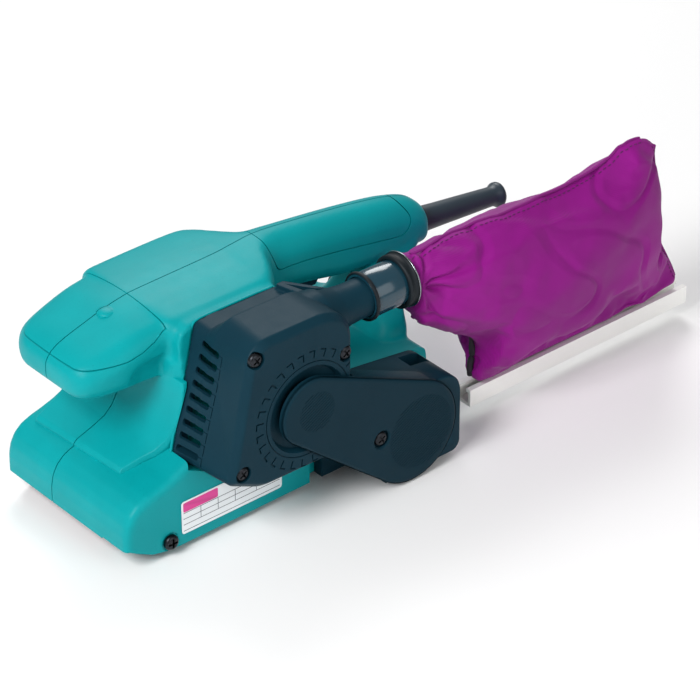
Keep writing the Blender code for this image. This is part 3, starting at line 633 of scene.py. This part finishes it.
SCOOP = ((-16.5, 0.5), (-15.8, 8), (-14, 12.5), (-10.5, 16.5), (-6, 18.3), (0, 19), (12.2, 19), (12.8, 18),
         (12.8, 0.5))           # finger hollow: distance along X, radius
HOUSING_SCREWS = ((-80, 97, 40), (-38, 71, 42), (34, 94.5, 42), (112, 61.5, 18.8), (148, 90, 15.4))


def nose_pad_solid():
    """The pad's near edge runs outwards to the column's corner; its rims slope."""
    loops = []
    for k, drop in ((0, 3.2), (0, 0), (1, 0), (2, 0), (3, 0), (4, 0), (4, 3.2)):
        t = k / 4
        loop = []
        for x, z in NOSE_PAD:
            lean = max(0, min(1, (x + 80) / 25))
            near, far = -38.5 - 11 * lean, 33 + 8 * lean
            y = near + (far - near) * t
            skew = -0.052 * (y + 1.5) * max(0, min(1, (-70 - x) / 10))
            rim = drop * 0.3 * (1 if t > 0.5 else -1)
            loop.append((x + skew, y + rim, z - drop))
        loops.append(loop)
    return loft("nose_pad", loops)


def shoulder_solid():
    """Carries the deck's near edge out to the fan cover."""
    loops = []
    for x, top in ((-46.5, 112), (-44, 117.5), (-39, 120.3), (-30, 120.8), (14, 120.8), (24, 120)):
        section = ((-30, 90), (-46.5, 90), (interface_y(top) - 1, top), (-36, top + 1.3),
                   (-30, top + 1.8))
        loops.append([(x, y, z) for y, z in section])
    return loft("shoulder", loops)


def seam_button():
    """Low domed boss on the grip's seam."""
    profile = [(-4, 5.4)] + [(2 * sin(t), 5.4 * cos(t)) for t in QUARTER[:6]] + [(2, 0.3)]
    return turned("seam_button", (-63.5, -2.6, 121.2), "Z", profile, 40)


def scoop_solid(room):
    """Finger hollow in the near flank, under the front grip's rim."""
    return turned("scoop", (-62, -50, 93), "X", [(x, radius + room) for x, radius in SCOOP], 48)


def casing_solid():
    column = [(z, -49, 41, interface_y(z), FAR_Y, 6) for z in (40, 60, 80, 101)]
    parts = [hull_along_x("spine", smoothed(SPINE)), hull_along_z("column", column),
             soft_prism("hood", list(HOOD), NEAR_Y, FAR_Y, 3.5, 3),
             shoulder_solid(), hull_along_z("rear_column", smoothed(REAR_COLUMN))]
    shell = cut(melted("casing", parts, CASING_VOXEL, 2), scoop_solid(0))
    shell = melted("casing", [shell], CASING_VOXEL, 4)
    return join(shell, bevelled(nose_pad_solid(), 0.5, 3, 20), seam_button())


def belt_space():
    """The sanding belt's loop with running room, open at the foot and the tail."""
    room = 2.3
    radius = high("sanding_belt").z / 2
    front = (IDLER.x, IDLER.z, IDLER.z + room)
    rear = (REAR.x, radius, radius + room)
    top = sorted(p for p in two_circle_path(front, rear, 0, 24)
                 if p[1] >= IDLER.z and (p[1] > 30 or p[0] < 0))
    return [(top[0][0], -9)] + top + [(125, 30), (125, -9)]


def hollowed(shell):
    """The same inner spaces as the real moulding, so that openings show depth."""
    seat = [(x + (0.3 if x > 0 else -0.3), z - 0.3) for x, z in leaned(cover_outline(-5))]
    return cut(shell, prism("below", SKIRT, NEAR_Y - 5, -44.9),
               box("below", (-120, -45, -20), (60, FAR_Y + 5, 13)),
               box("tail", (24.7, NEAR_Y - 5, -20), (130, -60, 130)),
               prism("tail_slope", TAIL_SLOPE, -100, 100),
               cut(hull_along_x("spine_hollow", SPINE, WALL), scoop_solid(WALL)),
               box("column_hollow", (-46, -38, 50), (38, FAR_Y - WALL, 96)),
               disc("motor_hollow", MOTOR.x, MOTOR.z, 31.6, -37, FAR_Y - WALL),
               prism("belt_space", belt_space(), -44.8, FAR_Y + 20),
               prism("side_space", SIDE_SPACE, NEAR_Y + WALL, -47.8),
               box("under_slope", (24.7, -62, -20), (104, -44, 3)),
               box("tail_space", (21.7, -57, -15), (113, -47.8, 50)),
               loft("cover_seat", [[(x, interface_y(z), z) for x, z in seat],
                                   at_y(seat, COVER_Y - 5)]),
               disc("front_seat", MOTOR.x, MOTOR.z, 11.3, -60, -36),
               disc("shaft_way", REAR.x, REAR.z, 11, -70, -44),
               disc("tracking_way", -74, 9, 5.6, -70, -66.2),
               disc("tracking_way", -74, 9, 3.2, -70, -44))


def region(name, outline, side, grow, reach):
    """One half of a soft pad's outline, through the casing from the seam outwards."""
    y = (SEAM - grow, reach) if side > 0 else (-reach, -SEAM + grow)
    return prism(name, offset(outline, -grow) if grow else outline, *y)


def grip_region(side, grow):
    """The grip pad lies above a line that is level in front and climbs to the deck."""
    outline = [(-120, 108.8), (-73, 108.8), (-64, 110.6), (-55, 114.4), (-47.6, 119),
               (-47.6, 140), (-120, 140)]
    return region("grip_region", outline, side, grow, 80)


def handle_region(side, grow):
    outline = rounded([(45.5, 110), (70, 107.2), (94, 103.4), (140, 95), (147, 103),
                       (136, 122), (125, 140), (38, 140), (41.5, 120)],
                      [4, 6, 6, 7, 10, 12, 1, 1, 12])
    return region("handle_region", outline, side, grow, 40)


def make_casing():
    shell = hollowed(casing_solid())
    button, trigger_x0, trigger_x1 = middle("lock_button"), low("trigger").x - 0.8, high("trigger").x + 1
    for side, word in ((-1, "left"), (1, "right")):
        y0, y1 = (-90, -SEAM) if side < 0 else (SEAM, 90)
        half = keep(twin(shell, "casing_" + word), box("half", (-140, y0, -20), (200, y1, 160)))
        grip = keep(twin(half, "front_pad_" + word), grip_region(side, 0))
        pad = keep(twin(half, "rear_pad_" + word), handle_region(side, 0))
        half = cut(half, grip_region(side, 2 * SEAM), handle_region(side, 2 * SEAM))
        if side > 0:
            for x, z, face in HOUSING_SCREWS:
                half = cut(half, disc("screw_way", x, z, 3.9, face - 4, 70, 32))
            for k in range(5):
                z = MOTOR.z - 16 + 8 * k
                slot = rounded(rectangle(-14, z - 1.6, 14, z + 1.6), 1.5)
                half = cut(half, prism("vent", slot, 30, 50))
            half = cut(half, disc("button_way", button.x, button.z, 3.3, 5, 30))
        half = cut(half, box("trigger_way", (trigger_x0, -6, 80), (trigger_x1, 6, 101)),
                   turned("guard_way", (155, 0, 89.8), "X", [(0, 6.7), (30, 6.7)]))
        place(half, "teal", "teal_plastic", word + "_housing")
        place(grip, "teal", "grip_plastic", "grip_pad_" + word)
        place(pad, "pad", "grip_plastic", "handle_pad_" + word)
    bpy.data.objects.remove(shell, do_unlink=True)


def make_bead():
    """Raised rib of the casing that frames the fan cover's front and top edge."""
    line = [(-55.1 + (z - 50) * 16 / 72 + (z - 92) * 0.13, z) for z in (51, 62, 74, 86, 98, 108, 115)]
    line += [(-35.6, 119.4), (-33.6, 121.2), (-29.5, 122), (-20, 122.1), (0, 122), (13, 121.8), (21, 121.4)]
    points = [(x, interface_y(z) + 0.2, z) for x, z in line]
    place(tube("cover_bead", [tuple(p) for p in smoothed(points, 4)], 0.8), "teal", "teal_plastic")


# ---- fan cover ----
def cover_outline(drop):
    return [(-54.5, 50), (-31, 39), (33, 38), (33, 116 - drop * 0.3),
            (26, 127 - drop * 0.55), (14, 132 - drop), (-30, 132.5 - drop),
            (-38.5, 126 - drop * 0.4)]


def leaned(outline, share=1):
    """The cover's front edge leans further back at the casing; share fades this outwards."""
    return [(x + (z - 92) * 0.13 * share * (x < -20), z) for x, z in outline]


COVER_CORNERS = [5, 6, 5, 6, 6, 7, 8, 6]


def fan_cover_solid():
    loops = []
    for y, room, drop, share in ((-40, 0.4, 10, 1), (-54, 3, 10, 0.85), (-58, 3, 6.5, 0.72),
                                 (-63, 3, 0.5, 0.55), (COVER_Y + 3.8, 3, 0, 0)):
        outline = rounded(leaned(cover_outline(drop), share), COVER_CORNERS)
        loops.append([(x, min(interface_y(z) - room, y), z) for x, z in outline])
    loops.append(at_y(offset(outline, 3.4), COVER_Y))
    spout = [(18, 17), (29, 16.2), (34, 14.4), (40, 12.6), (47, 11.6), (52, 11.3), (78, 11.3)]
    plan = ((20, -44.6), (25.5, -44.6), (39.5, -66), (38, -70), (26, -71))
    fin = [[(x, y, z) for x, y in plan] for z in (104, 125)]
    parts = [loft("cover_body", loops), turned("spout", (0, NOZZLE.y, NOZZLE.z), "X", spout),
             loft("fin", fin)]
    return melted("dust_cover", parts, COVER_VOXEL, 2)


def notch_cutter():
    """Wedge-shaped notch beside the deck's rear corner."""
    plan = ((24, -47.5), (36.5, -66.6), (30, -68.2))
    return loft("notch", [[(x, y, z) for x, y in plan] for z in (118.5, 140)])


def bar(name, hub, start, end, half_width, y0, y1):
    """Straight bar in the X-Z plane; start and end are measured from the hub."""
    run = (end - start).normalized()
    wide = Vector((-run.y, run.x)) * half_width
    corners = [hub + start - wide, hub + end - wide, hub + end + wide, hub + start + wide]
    return prism(name, [tuple(c) for c in corners], y0, y1)


def tick_cutters():
    """Hooked marks round the ring on the cover's face."""
    hub = Vector((MOTOR.x, MOTOR.z))
    bars, hooks = [], []
    for k in range(28):
        angle = radians(360 / 28 * k + 5)
        if radians(300) < angle < radians(352):
            continue
        along = Vector((cos(angle), sin(angle)))
        bend = along * 35.8
        side = Vector((-along.y, along.x))
        bars.append(bar("tick", hub, along * 31.2, along * 36.2, 0.45, *TICK_DEPTH))
        hooks.append(bar("tick", hub, bend, bend + side * 3.8, 0.45, *TICK_DEPTH))
    return gathered("ticks", bars), gathered("hooks", hooks)


def slot_room():
    """Hollow right behind the slotted flank, which leaves a thin wall for the slots."""
    loops = []
    for y, share in ((-75, 0.2), (-52.5, 0.9)):
        front = [(-52.6 + (z - 50) * 16 / 76 + (z - 92) * 0.13 * share, y, z) for z in (55, 117)]
        loops.append(front + [(-34, y, 117), (-34, y, 55)])
    return loft("slot_room", loops)


def make_fan_cover():
    cover = fan_cover_solid()
    chamber = [(-50, 53.5), (-30, 42.5), (29.8, 41.5), (29.8, 110), (24, 118.5), (-35, 118.5)]
    cover = cut(cover, prism("chamber", chamber, -80, -30), slot_room(),
                turned("duct", (0, NOZZLE.y, NOZZLE.z), "X", [(10, 9), (90, 9)]),
                notch_cutter(),
                prism("belt_pocket", lid_outline(2.5, 32), LID_Y, POCKET_Y),
                turned("dish", (MOTOR.x, COVER_Y, MOTOR.z), "Y",
                       [(-3, 26.6), (0, 26.4), (3.4, 24.6), (3.4, 5)]),
                turned("ring_line", (MOTOR.x, COVER_Y, MOTOR.z), "Y",
                       [(-1, 29.3), (0.7, 29.3), (0.7, 28.7), (-1, 28.7)], 96, True),
                disc("shaft_way", MOTOR.x, MOTOR.z, 5.5, -90, -70))
    for k in range(9):
        z = 56.5 + 7.3 * k
        x = -54.5 + (z - 50) * 16 / 76
        slot = rounded(rectangle(-69, z - 1.9, -52.8, z + 1.9), 1.4)
        loops = [[(x + dx, y, height) for y, height in slot] for dx in (-8, 9)]
        lean = (z - 92) * 0.04
        tail = [box("tail", (x + lean - 3, -72.2, z - 5.2), (x + lean + 1.4, -71.7, z + 1)),
                box("tail", (x + lean - 3, -72, z + 0.4), (x + lean + 1.4, -69, z + 0.9))]
        cover = cut(cover, loft("slot", loops), *tail)
    cover = cut(cover, *tick_cutters())
    for x, z in cover_screws():
        cover = cut(cover, disc("screw_way", x, z, 5, LID_Y, COVER_Y + 3.4, 40))
    place(cover, "black", "black_plastic", "fan_cover", sharp=40)


def cover_screws():
    return [(middle("fan_cover_screw_%d" % i).x, middle("fan_cover_screw_%d" % i).z) for i in (1, 2, 3)]


# ---- rear guard and drive-belt cover ----
def make_rear_guard():
    plate = rounded([(25, 3), (111.5, 3), (111.5, 46), (106, 54.5), (62, 60.5), (46, 62),
                     (34, 62), (25, 30)], [1, 3, 6, 6, 4, 3, 3, 3])
    body = rounded([(56, 3), (108, 3), (111.5, 7), (111.5, 44.5), (109, 51.5), (103, 55.5),
                    (60, 61.5), (50, 62)], [1, 3, 3, 5, 5, 6, 3, 3])
    guard = prism("rear_cover", plate, NEAR_Y, -60.3)
    guard = join(guard, soft_prism("guard_box", body, COVER_Y, -62, 1.2),
                 soft_prism("guard_brow", lid_outline(1, 32), COVER_Y, POCKET_Y + 2.5, 1))
    guard = cut(guard, box("front_trim", (-40, -110, -10), (33.5, -50, 140)),
                prism("belt_pocket", lid_outline(2.5, 32), LID_Y, POCKET_Y),
                box("inside", (66, -81, 6), (108, -50, 42)),
                prism("top_recess", rounded([(91, 44), (106, 40), (106, 70), (91, 70)], 4), -76, -65),
                prism("rear_recess", rounded(rectangle(101, 36, 116, 46), 3), -88, -80))
    guard = join(guard, disc("post", *LID_SCREW, 3.3, -95.9, -80))
    guard = cut(guard, disc("shaft_way", REAR.x, REAR.z, 7.5, -90, -50))
    place(bevelled(guard, 0.8, 3, 40), "black", "black_plastic", "rear_guard")


def lid_outline(inset=0, steps=40):
    return two_circle_path(LID_FRONT, LID_REAR, inset, steps)


def make_belt_cover():
    start = COVER_Y - 0.3
    bevel = 2.2
    loops = [at_y(lid_outline(), start), at_y(lid_outline(), start - 3)]
    loops += [at_y(lid_outline(bevel * (1 - cos(t))), LID_Y + bevel * (1 - sin(t))) for t in QUARTER]
    lid = loft("drive_cover", loops)
    lid = cut(lid, prism("hollow", lid_outline(2.4), LID_Y + 2, -80))
    lid = join(lid, disc("boss", *LID_SCREW, 7.2, -96.2, LID_Y + 1))
    recess = turned("recess", (LID_SCREW[0], LID_Y, LID_SCREW[1]), "Y",
                    [(-2, 6.4), (0, 6.1), (0.9, 5.3), (2.6, 5.2)])
    lid = cut(lid, recess, gathered("ribs", rib_cutters()))
    place(lid, "lid", "black_plastic", "belt_cover", sharp=30)


def rib_cutters():
    """Shallow parallel grooves inside the front circle and the rear circle."""
    slope = Vector((cos(radians(28)), sin(radians(28))))
    across = Vector((-slope.y, slope.x))
    pitch = 1.7
    cutters = []
    for centre, radius in (((LID_FRONT[0] + 3, LID_FRONT[1] - 1), 12.5),
                           ((LID_REAR[0] + 5, LID_REAR[1] - 1), 23)):
        count = int(radius / pitch)
        for k in range(-count, count + 1):
            level = k * pitch
            half = sqrt(max(radius ** 2 - level ** 2, 0)) - 0.5
            hub = Vector(centre) + across * level
            if half >= 2 and (hub - Vector(LID_SCREW)).length >= 9:
                cutters.append(bar("rib", hub, slope * -half, slope * half, 0.22, LID_Y - 1, LID_Y + 0.22))
    return cutters


# ---- screws ----
def phillips(name, look, x, z, seat_y, radius, height, side, node, length=8, shank=1.4, body="root"):
    """Pan-head cross-recess screw along Y, head facing side * Y."""
    profile = [(-length, shank), (0, shank), (0, radius)]
    profile += [(height * (0.35 + 0.65 * sin(t)), radius * (0.42 + 0.58 * cos(t))) for t in QUARTER[1:6]]
    profile.append((height, radius * 0.42))
    screw = turned(name, (x, seat_y, z), "Y", [(d * side, r) for d, r in profile], 40)
    top = seat_y + side * height
    y0, y1 = sorted((top - side * height * 0.62, top + side))
    for turn in (35, 125):
        reach = Vector((cos(radians(turn)), sin(radians(turn)))) * radius * 0.62
        screw = cut(screw, bar("cross", Vector((x, z)), -reach, reach, radius * 0.13, y0, y1))
    return place(bevelled(screw, 0.12, 2, 40), look, "black_steel", node, body=body)


def make_screws():
    for i, (x, z) in enumerate(cover_screws(), 1):
        phillips("cover_screw_%d" % i, "screw", x, z, COVER_Y + 3.2, 4.2, 3, -1, "fan_cover_screw_%d" % i)
    phillips("lid_screw", "screw", *LID_SCREW, LID_Y + 2.5, 4.3, 2.2, -1, "belt_cover_screw", 6, 1.2)
    for i, (x, z, face) in enumerate(HOUSING_SCREWS, 1):
        phillips("casing_screw_%d" % i, "screw", x, z, face - 3.7, 3.3, 2.6, 1, "housing_screw_%d" % i)


def make_tracking_screw():
    low_y = low("tracking_screw").y
    x, z = middle("tracking_screw").x, middle("tracking_screw").z
    profile = [(-low_y - 45, 1.5), (-low_y - 46.5, 2.8), (-low_y - 67.2, 2.8), (-low_y - 67.2, 4.6)]
    profile += [((-low_y - 68) * (1 - sin(t)), 4.6 - 2 * (1 - cos(t))) for t in QUARTER[1:]]
    screw = turned("adjuster", (x, low_y, z), "Y", profile, 48)
    for wide, tall in ((3.1, 0.7), (0.7, 3.1)):
        screw = cut(screw, box("cross", (x - wide, low_y - 1, z - tall), (x + wide, low_y + 1.8, z + tall)))
    place(bevelled(screw, 0.15, 2, 40), "screw", "black_steel", "tracking_screw", body="tracking")


# ---- label ----
def make_label():
    a, b = low("rating_label"), high("rating_label")
    y = a.y
    plate = rounded(rectangle(a.x, a.z, b.x, b.z), 2)
    label = soft_prism("name_plate", plate, y + 0.1, y + 0.5)
    place(label, "label", "label_film", "rating_label")
    patch = rounded(rectangle(a.x + 1, b.z - 6.8, a.x + 25, b.z - 0.8), 1)
    place(prism("plate_patch", patch, y, y + 0.12), "label_patch", "label_film")
    lines = [box("line", (a.x + 1, y, z - 0.14), (b.x - 1.5, y + 0.12, z + 0.14))
             for z in (b.z - 7.4, b.z - 11.2, b.z - 15, a.z + 2)]
    lines += [box("line", (x - 0.14, y - 0.02, b.z - 15), (x + 0.14, y + 0.11, b.z - 7.4))
              for x in (a.x + 13, a.x + 25, a.x + 37, a.x + 52)]
    place(gathered("plate_lines", lines), "label_ink", "label_film")


# ---- nozzle ring, sleeve and cord guard ----
def make_sleeve():
    x0, x1 = low("bag_sleeve").x, high("bag_sleeve").x
    sleeve = [(x0 + 0.2, 11.8), (x1, 11.8), (x1, 13.2), (x1 - 0.4, 13.4), (x0 + 0.6, 13.3), (x0 + 0.2, 13)]
    collar = [(x0, 13.35), (x0 + 2.2, 13.35), (x0 + 2.2, 14), (x0 + 1.7, 14.4), (x0 + 0.5, 14.4), (x0, 14)]
    ring = [(82.6, 13.75), (90, 13.75), (90, 15), (89.4, 15.6), (88, 15.9), (87.4, 15.2), (84.6, 15.2),
            (84, 15.8), (83, 15.6), (82.6, 14.9)]
    wire = circle(88.8, 16.1, 0.5, 12)
    for name, profile, look, slot, nodes in (
            ("hose_collar", collar, "rubber", "rubber", ()),
            ("hose_sleeve", sleeve, "sleeve", "sleeve_plastic", ("bag_sleeve",)),
            ("hose_ring", ring, "rubber", "rubber", ("bag_ring",)),
            ("clamp_wire", wire, "chrome", "chrome", ("clamp_ring",))):
        place(turned(name, (0, NOZZLE.y, NOZZLE.z), "X", profile, 96, True), look, slot, *nodes,
              body="sleeve_body", sharp=50)


def make_cord_guard():
    profile = [(0, 5.6), (6.3, 5.6), (6.3, 7.1), (6.9, 7.7), (8, 7.7), (20, 7.2), (34, 6.8), (50, 6.3),
               (62, 5.9), (64.6, 6.1), (66, 7), (67.2, 7.6), (68.8, 7.6), (69.7, 7.2), (70, 6.5),
               (70, 4.4), (69, 3.7), (62, 3.6), (62, 0.4)]
    guard = turned("cable_guard", (0, 0, 0), "X", profile, 72)
    turn = Matrix.Rotation(radians(6), 4, "Y")
    guard.data.transform(Matrix.Translation(Vector((157, 0, 90)) * MM) @ turn)
    place(guard, "guard", "rubber", "cord_guard", sharp=50)


# ---- belts, bed and inner pieces ----
def make_sanding_belt():
    """Endless cloth belt: grit outside, woven backing inside, eased rims."""
    half, radius = high("sanding_belt").y, high("sanding_belt").z / 2
    front, rear = (IDLER.x, IDLER.z, IDLER.z), (REAR.x, radius, radius)
    outer = two_circle_path(front, rear, 0, 48)
    inner = two_circle_path(front, rear, BELT_THICKNESS, 48)
    rim = offset(outer, 0.3)
    hoops = ((outer, -half + 0.3), (outer, half - 0.3), (rim, half), (inner, half), (inner, -half),
             (rim, -half))
    belt = loft("abrasive_belt", [at_y(*hoop) for hoop in hoops], True)
    place(belt, "grit", "abrasive_cloth", "sanding_belt")
    belt.data.materials.append(LOOKS["backing"])
    middle_of_loop = Vector(((IDLER.x + REAR.x) / 2, 0, radius * 0.8)) * MM
    for face in belt.data.polygons:
        inwards = (face.center - middle_of_loop).dot(face.normal) < 0
        if inwards and abs(face.normal.y) < 0.5:
            face.material_index = 1


CAD_LOOKS = {
    "steel": ("shoe_plate", "tension_rod", "tension_spring", "yoke", "idler_axle", "tension_lever",
              "drive_shaft", "drive_bearing_inner", "drive_bearing_outer", "armature_shaft", "motor_pulley",
              "motor_bearing_front", "motor_bearing_rear"),
    "aluminium": ("base_frame", "idler_roller", "drive_pulley", "brush_holder_1", "brush_holder_2"),
    "iron": ("armature_core", "stator_core"),
    "copper": ("commutator", "field_coil_1", "field_coil_2"),
    "cork": ("cork_pad",),
    "carbon": ("brush_1", "brush_2"),
    "black": ("cooling_fan", "switch_body", "trigger", "lock_button"),
    "rubber": ("drive_belt", "drive_roller"),
    "rail": ("bag_rail",),
}


def dress_cad_nodes():
    """Inner and plain pieces keep their CAD shape, with eased edges and a real material."""
    for look, nodes in CAD_LOOKS.items():
        for node in nodes:
            eased(dressed(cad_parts[node], look), 0.35, 2, 40)


# ---- dust bag ----
BAG_RINGS = (                   # x at top, foot; z at top, foot; half thickness; half width of the foot
    (90.6, 90.6, 127, 98, 14.5, 14.5),
    (97, 99, 126.6, 81, 16, 9),
    (117, 121, 130, 63, 19.5, 6.5),
    (146, 142, 134, 45, 21.5, 5.5),
    (170, 144.5, 133.5, 22, 21.5, 5.8),
    (208, 180, 132.6, 21.6, 21.5, 6),
    (238, 230, 135, 21.6, 19, 6),
    (260, 270, 145, 21.6, 12, 4.8),
    (278.5, 305.5, 140, 21.8, 3.8, 2.6),
)
BAG_PRESSURE = 3
BAG_FRAMES = 20
BAG_CAP = 7                   # furthest a point of the cloth may move, in millimetres


def bag_ring_points(top_x, foot_x, top_z, foot_z, half, foot, round_share):
    """One hoop of the bag: round at the mouth, then a pointed oval on a flat foot."""
    points = []
    for i in range(48):
        turn = 2 * pi * (i + 0.5) / 48
        level = (1 + cos(turn)) / 2
        side = 1 if turn < pi else -1
        lens = sin(pi * level ** 0.85) ** 0.7
        flat = max(0, 1 - level / 0.25)
        width = half * lens * (1 - flat) + (foot + (half * lens - foot) * (1 - flat)) * flat + 0.8
        width = width * (1 - round_share) + half * abs(sin(turn)) * round_share
        points.append((foot_x + (top_x - foot_x) * level, NOZZLE.y + side * width,
                       foot_z + (top_z - foot_z) * level))
    return points


def bag_cloth():
    """The blown-up cloth, before its seams: closed shell, then a short cloth simulation."""
    rows = smoothed(BAG_RINGS, 4)
    rings = [bag_ring_points(*row, max(0, 1 - i / 5)) for i, row in enumerate(rows)]
    bag = melted("cloth_bag", [loft("bag_shell", rings)], 4, 2)
    start = [vertex.co.copy() for vertex in bag.data.vertices]
    blow_up(bag)
    for vertex, before in zip(bag.data.vertices, start):
        move = vertex.co - before
        if move.length > BAG_CAP * MM:
            vertex.co = before + move.normalized() * BAG_CAP * MM
    return creased(baked(modified(bag, "SUBSURF", levels=2, render_levels=2)))


def blow_up(bag):
    """Inflates the cloth, held at the mouth and along the rail; extra cloth buckles."""
    held = bag.vertex_groups.new(name="held")
    for vertex in bag.data.vertices:
        x, _, z = vertex.co / MM
        grip = max(0, min(1, (95 - x) / 3), min(1, (27 - z) / 3))
        if grip > 0:
            held.add([vertex.index], grip, "REPLACE")
    cloth = bag.modifiers.new("cloth", "CLOTH")
    for name, value in (("quality", 6), ("mass", 0.15), ("use_pressure", True),
                        ("uniform_pressure_force", BAG_PRESSURE), ("shrink_min", -0.05),
                        ("vertex_group_mass", "held"), ("bending_stiffness", 0.3)):
        setattr(cloth.settings, name, value)
    cloth.settings.effector_weights.gravity = 0
    cloth.point_cache.frame_start = 1
    cloth.point_cache.frame_end = BAG_FRAMES
    for frame_number in range(1, BAG_FRAMES + 1):
        bpy.context.scene.frame_set(frame_number)
    baked(bag)
    bpy.context.scene.frame_set(1)


def creased(bag):
    """Creases that run out from the mouth, sag folds in the sides, and small crumpling."""
    mouth = Vector((91, NOZZLE.y, NOZZLE.z))
    normals = [vertex.normal.copy() for vertex in bag.data.vertices]
    for vertex, normal in zip(bag.data.vertices, normals):
        point = vertex.co / MM
        away = point - mouth
        reach = Vector((away.x, away.z)).length
        turn = atan2(away.z, max(away.x, 0.1))
        held = min(1, max(0, (point.x - 92) / 6)) * min(1, max(0, (point.z - 22) / 6))
        side = 3 if normal.y > 0 else 0
        wander = noise.noise(Vector((turn * 1.5, reach * 0.012, side))) * 2.2
        ray = sin(turn * 10 + wander * 1.3 + side)
        mouth_fold = -(max(0, ray) ** 1.3) * 3 * max(0, 1 - reach / 95) ** 1.1
        along = Vector((point.x * 0.011 + point.z * 0.010, point.z * 0.017 - point.x * 0.006, side))
        broad = noise.noise(along * 1.9) * 3
        steep = Vector((point.x * 0.021 + point.z * 0.010, point.z * 0.034, side + 7))
        ridge = 1 - abs(noise.noise(steep)) * 2
        crease = -max(0, ridge - 0.70) * 5
        fine = noise.noise(point * 0.085 + Vector((side, 0, 5))) * 0.5
        foot_near = max(0, 1 - abs(point.z - 31) / 12)
        gather = sin(point.x * 0.42 + 2.5 * noise.noise(point * 0.03)) * 0.55 * foot_near
        vertex.co += normal * (mouth_fold + broad + crease + fine + gather) * held * MM
    return bag


def bag_edge(tree, guesses):
    return [tree.find_nearest(Vector(g) * MM)[0] / MM for g in guesses]


def make_dust_bag():
    bag = bag_cloth()
    place(bag, "cloth", "bag_cloth", "dust_bag", body="bag_body", sharp=180)
    tree = BVHTree.FromObject(bag, bpy.context.evaluated_depsgraph_get())
    rows = smoothed(BAG_RINGS, 10)
    top = bag_edge(tree, [(row[0], NOZZLE.y, row[2] + 12) for row in rows[3:]])
    tail = bag_edge(tree, [(290 + 27 * k / 30, NOZZLE.y, 134 - 108 * k / 30) for k in range(31)])
    stitches = stitch_run(tree, top, (0, -3.2, -1.6)) + stitch_run(tree, tail, (-2.6, -2.2, 0))
    hem = bag_edge(tree, [(132, NOZZLE.y, 46 - 23.5 * k / 12) for k in range(13)])
    for item, look in ((tube("bag_top_seam", evened(top), 0.9, 8), "seam_cloth"),
                       (tube("bag_tail_seam", evened(tail), 0.9, 8), "seam_cloth"),
                       (gathered("bag_stitches", stitches), "thread"),
                       (tube("bag_hem", evened(hem), 1.9, 10), "hem")):
        place(item, look, "bag_cloth", body="bag_body", sharp=60)


def evened(points):
    """Light smoothing of a line, so that a seam runs evenly over small folds."""
    for _ in range(2):
        middle_points = [(a + b * 2 + c) / 4 for a, b, c in zip(points, points[1:], points[2:])]
        points = [points[0]] + middle_points + [points[-1]]
    return points


def stitch_run(tree, line, shift):
    """Short threads that lie on the cloth beside a seam."""
    stitches = []
    step, length = 3.6, 2.3
    travelled = 0
    for a, b in zip(line, line[1:]):
        span = (b - a).length
        while travelled < span:
            base = a.lerp(b, travelled / span) + Vector(shift)
            spot, normal, _, _ = tree.find_nearest(base * MM)
            run = (b - a).normalized()
            run = (run - normal * run.dot(normal)).normalized()
            centre = spot / MM + normal * 0.15
            ends = [centre - run * length / 2, centre - run * length / 4, centre + run * length / 4,
                    centre + run * length / 2]
            stitches.append(tube("stitch", ends, 0.33, 6))
            travelled += step
        travelled -= span
    return stitches


# ---- floor and light ----
def make_stage():
    bpy.ops.mesh.primitive_plane_add(size=8, location=(0.1, 0, -0.0006))
    floor = bpy.context.object
    floor.name = "floor"
    floor.data.materials.append(Look("floor", (0.92, 0.92, 0.92, 1), 0.9).material)
    world = bpy.data.worlds.new("studio")
    bpy.context.scene.world = world
    world.use_nodes = True
    fill_inputs(world.node_tree.nodes["Background"], {"Color": (1, 1, 1, 1), "Strength": 0.29})
    add_light("key", (-1.05, -0.3, 1.05), 0.6, 20)
    add_light("fill", (0.2, -1.5, 0.8), 1.2, 7)
    add_light("rim", (0.75, 0.9, 1.1), 0.7, 11)


def add_light(name, spot, size, power):
    data = bpy.data.lights.new(name, "AREA")
    data.size = size
    data.energy = power
    item = linked(name, data)
    item.location = spot
    item.rotation_euler = (Vector((0.05, -0.03, 0.05)) - Vector(spot)).to_track_quat("-Z", "Y").to_euler()


make_camera()
LOOKS = make_looks()
make_dust_bag()
make_casing()
make_bead()
make_fan_cover()
make_rear_guard()
make_belt_cover()
make_screws()
make_tracking_screw()
make_label()
make_sleeve()
make_cord_guard()
make_sanding_belt()
dress_cad_nodes()
make_stage()
bpy.context.scene.view_settings.view_transform = "Standard"
